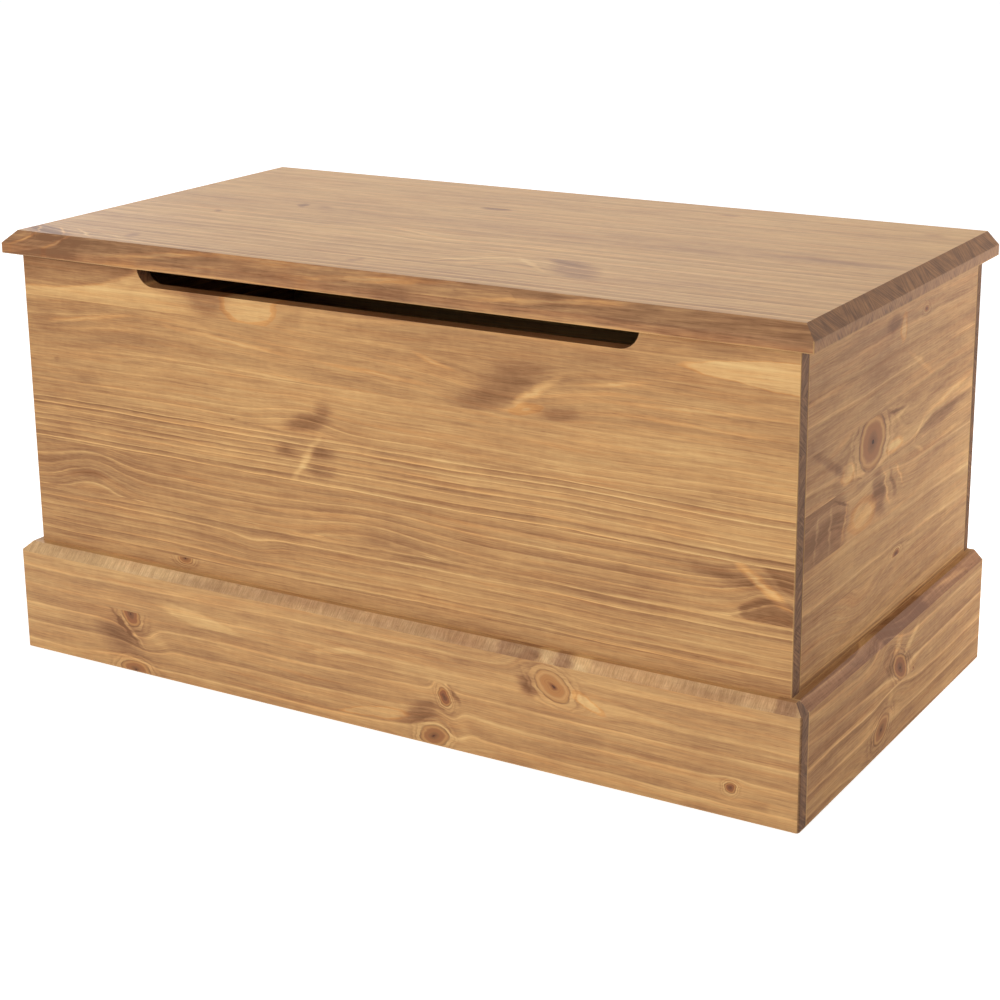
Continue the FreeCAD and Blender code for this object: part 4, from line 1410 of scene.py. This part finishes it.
def make_floor(context):
    """A wide pale floor that keeps the object's shadow."""
    mesh = bpy.data.meshes.new("Floor")
    reach = 9.0
    below_the_feet = 0.0005
    mesh.from_pydata([(-reach, -reach, 0), (reach, -reach, 0), (reach, reach, 0), (-reach, reach, 0)], [],
                     [(0, 1, 2, 3)])
    floor = bpy.data.objects.new("Floor", mesh)
    floor.location = (0.0, 0.0, -below_the_feet)
    context.scene.collection.objects.link(floor)
    material, tree, shader, end = new_material("Pale Floor")
    place, _ = object_place(tree)
    x, y, _ = parts_of(tree, place)
    mottle = noise(tree, (x / 400.0, y / 400.0), detail=2.0)
    tint = colour_ramp(tree, 0.5 + mottle, [(0.0, (0.84, 0.84, 0.84)), (1.0, (0.88, 0.88, 0.88))])
    feed(tree, tint, shader.inputs["Base Color"])
    shader.inputs["Roughness"].default_value = 0.9
    shader.inputs["Specular IOR Level"].default_value = 0.1
    shader.inputs["Emission Color"].default_value = (1.0, 1.0, 1.0, 1.0)
    feed(tree, seen_directly(tree) * 0.60, shader.inputs["Emission Strength"])
    arrange(tree, end)
    mesh.materials.append(material)


def make_light(context):
    """An even white surround, a large lamp in front, and weaker ones above, behind and at the right."""
    world = bpy.data.worlds.new("Studio")
    context.scene.world = world
    world.use_nodes = True
    tree = world.node_tree
    background = tree.nodes["Background"]
    background.inputs["Color"].default_value = (1.0, 1.0, 1.0, 1.0)
    seen = seen_directly(tree)
    feed(tree, 0.48 + seen * 0.52, background.inputs["Strength"])
    middle_of_trunk = Vector((0.0, 0.0, 0.2))
    # Each lamp's name, place, width and power
    lamps = [
        ("Key", (-0.1, -3.0, 1.3), 1.9, 51.0),
        ("Right Fill", (1.0, 1.0, 0.42), 0.5, 8.4),
        ("Top", (-0.2, 0.5, 2.6), 1.8, 12.6),
        ("Left Rear", (-2.8, 1.6, 1.4), 1.8, 11.5),
        ("Rear", (-1.5, 2.8, 1.35), 1.8, 3.0),
    ]
    for name, place, width, power in lamps:
        light = bpy.data.lights.new(name, "AREA")
        light.shape = "DISK"
        light.size = width
        light.energy = power
        lamp = bpy.data.objects.new(name, light)
        lamp.location = place
        lamp.rotation_mode = "QUATERNION"
        lamp.rotation_quaternion = (middle_of_trunk - Vector(place)).to_track_quat("-Z", "Y")
        context.scene.collection.objects.link(lamp)


def make_camera(context):
    """The camera stands to the right of the front, a little above the lid."""
    azimuth = math.radians(31.197)
    elevation = math.radians(16.104)
    roll = math.radians(-0.632)
    place = (1.0644, -1.7497, 0.8251)
    back = Vector((math.sin(azimuth) * math.cos(elevation), -math.cos(azimuth) * math.cos(elevation),
                   math.sin(elevation)))
    level_right = Vector((math.cos(azimuth), math.sin(azimuth), 0.0))
    level_up = back.cross(level_right)
    right = level_right * math.cos(roll) + level_up * math.sin(roll)
    up = level_up * math.cos(roll) - level_right * math.sin(roll)
    turn = Matrix((right, up, back)).transposed()
    data = bpy.data.cameras.new("Camera")
    data.sensor_fit = "HORIZONTAL"
    data.sensor_width = 36.0
    data.lens = 77.309
    data.shift_y = -0.07
    camera = bpy.data.objects.new("Camera", data)
    camera.matrix_world = Matrix.Translation(place) @ turn.to_4x4()
    context.scene.collection.objects.link(camera)
    context.scene.camera = camera


# Panel and registering


class TRUNK_PT_panel(bpy.types.Panel):
    """Lists the pieces, sizes and colours of the trunk"""

    bl_label = "Pine Storage Trunk"
    bl_idname = "TRUNK_PT_panel"
    bl_space_type = "VIEW_3D"
    bl_region_type = "UI"
    bl_category = "Trunk"

    def draw(self, context):
        for operator in operators:
            self.layout.operator(operator.bl_idname)
        for settings in (context.scene.trunk_sizes, context.scene.trunk_colours):
            box = self.layout.box()
            for name in settings.bl_rna.properties.keys():
                if name not in ("rna_type", "name"):
                    box.prop(settings, name)


operators = (TRUNK_OT_lid, TRUNK_OT_front, TRUNK_OT_sides, TRUNK_OT_plinth, TRUNK_OT_inside,
             TRUNK_OT_fittings, TRUNK_OT_screws, TRUNK_OT_stage)
classes = (TrunkSizes, TrunkColours, *operators, TRUNK_PT_panel)


def register():
    for each in classes:
        bpy.utils.register_class(each)
    bpy.types.Scene.trunk_sizes = bpy.props.PointerProperty(type=TrunkSizes)
    bpy.types.Scene.trunk_colours = bpy.props.PointerProperty(type=TrunkColours)


def unregister():
    del bpy.types.Scene.trunk_colours
    del bpy.types.Scene.trunk_sizes
    for each in reversed(classes):
        bpy.utils.unregister_class(each)


def main():
    register()
    bpy.ops.trunk.lid()
    bpy.ops.trunk.front()
    bpy.ops.trunk.sides()
    bpy.ops.trunk.plinth()
    bpy.ops.trunk.inside()
    bpy.ops.trunk.fittings()
    bpy.ops.trunk.screws()
    bpy.ops.trunk.stage()


if __name__ == "__main__":
    main()
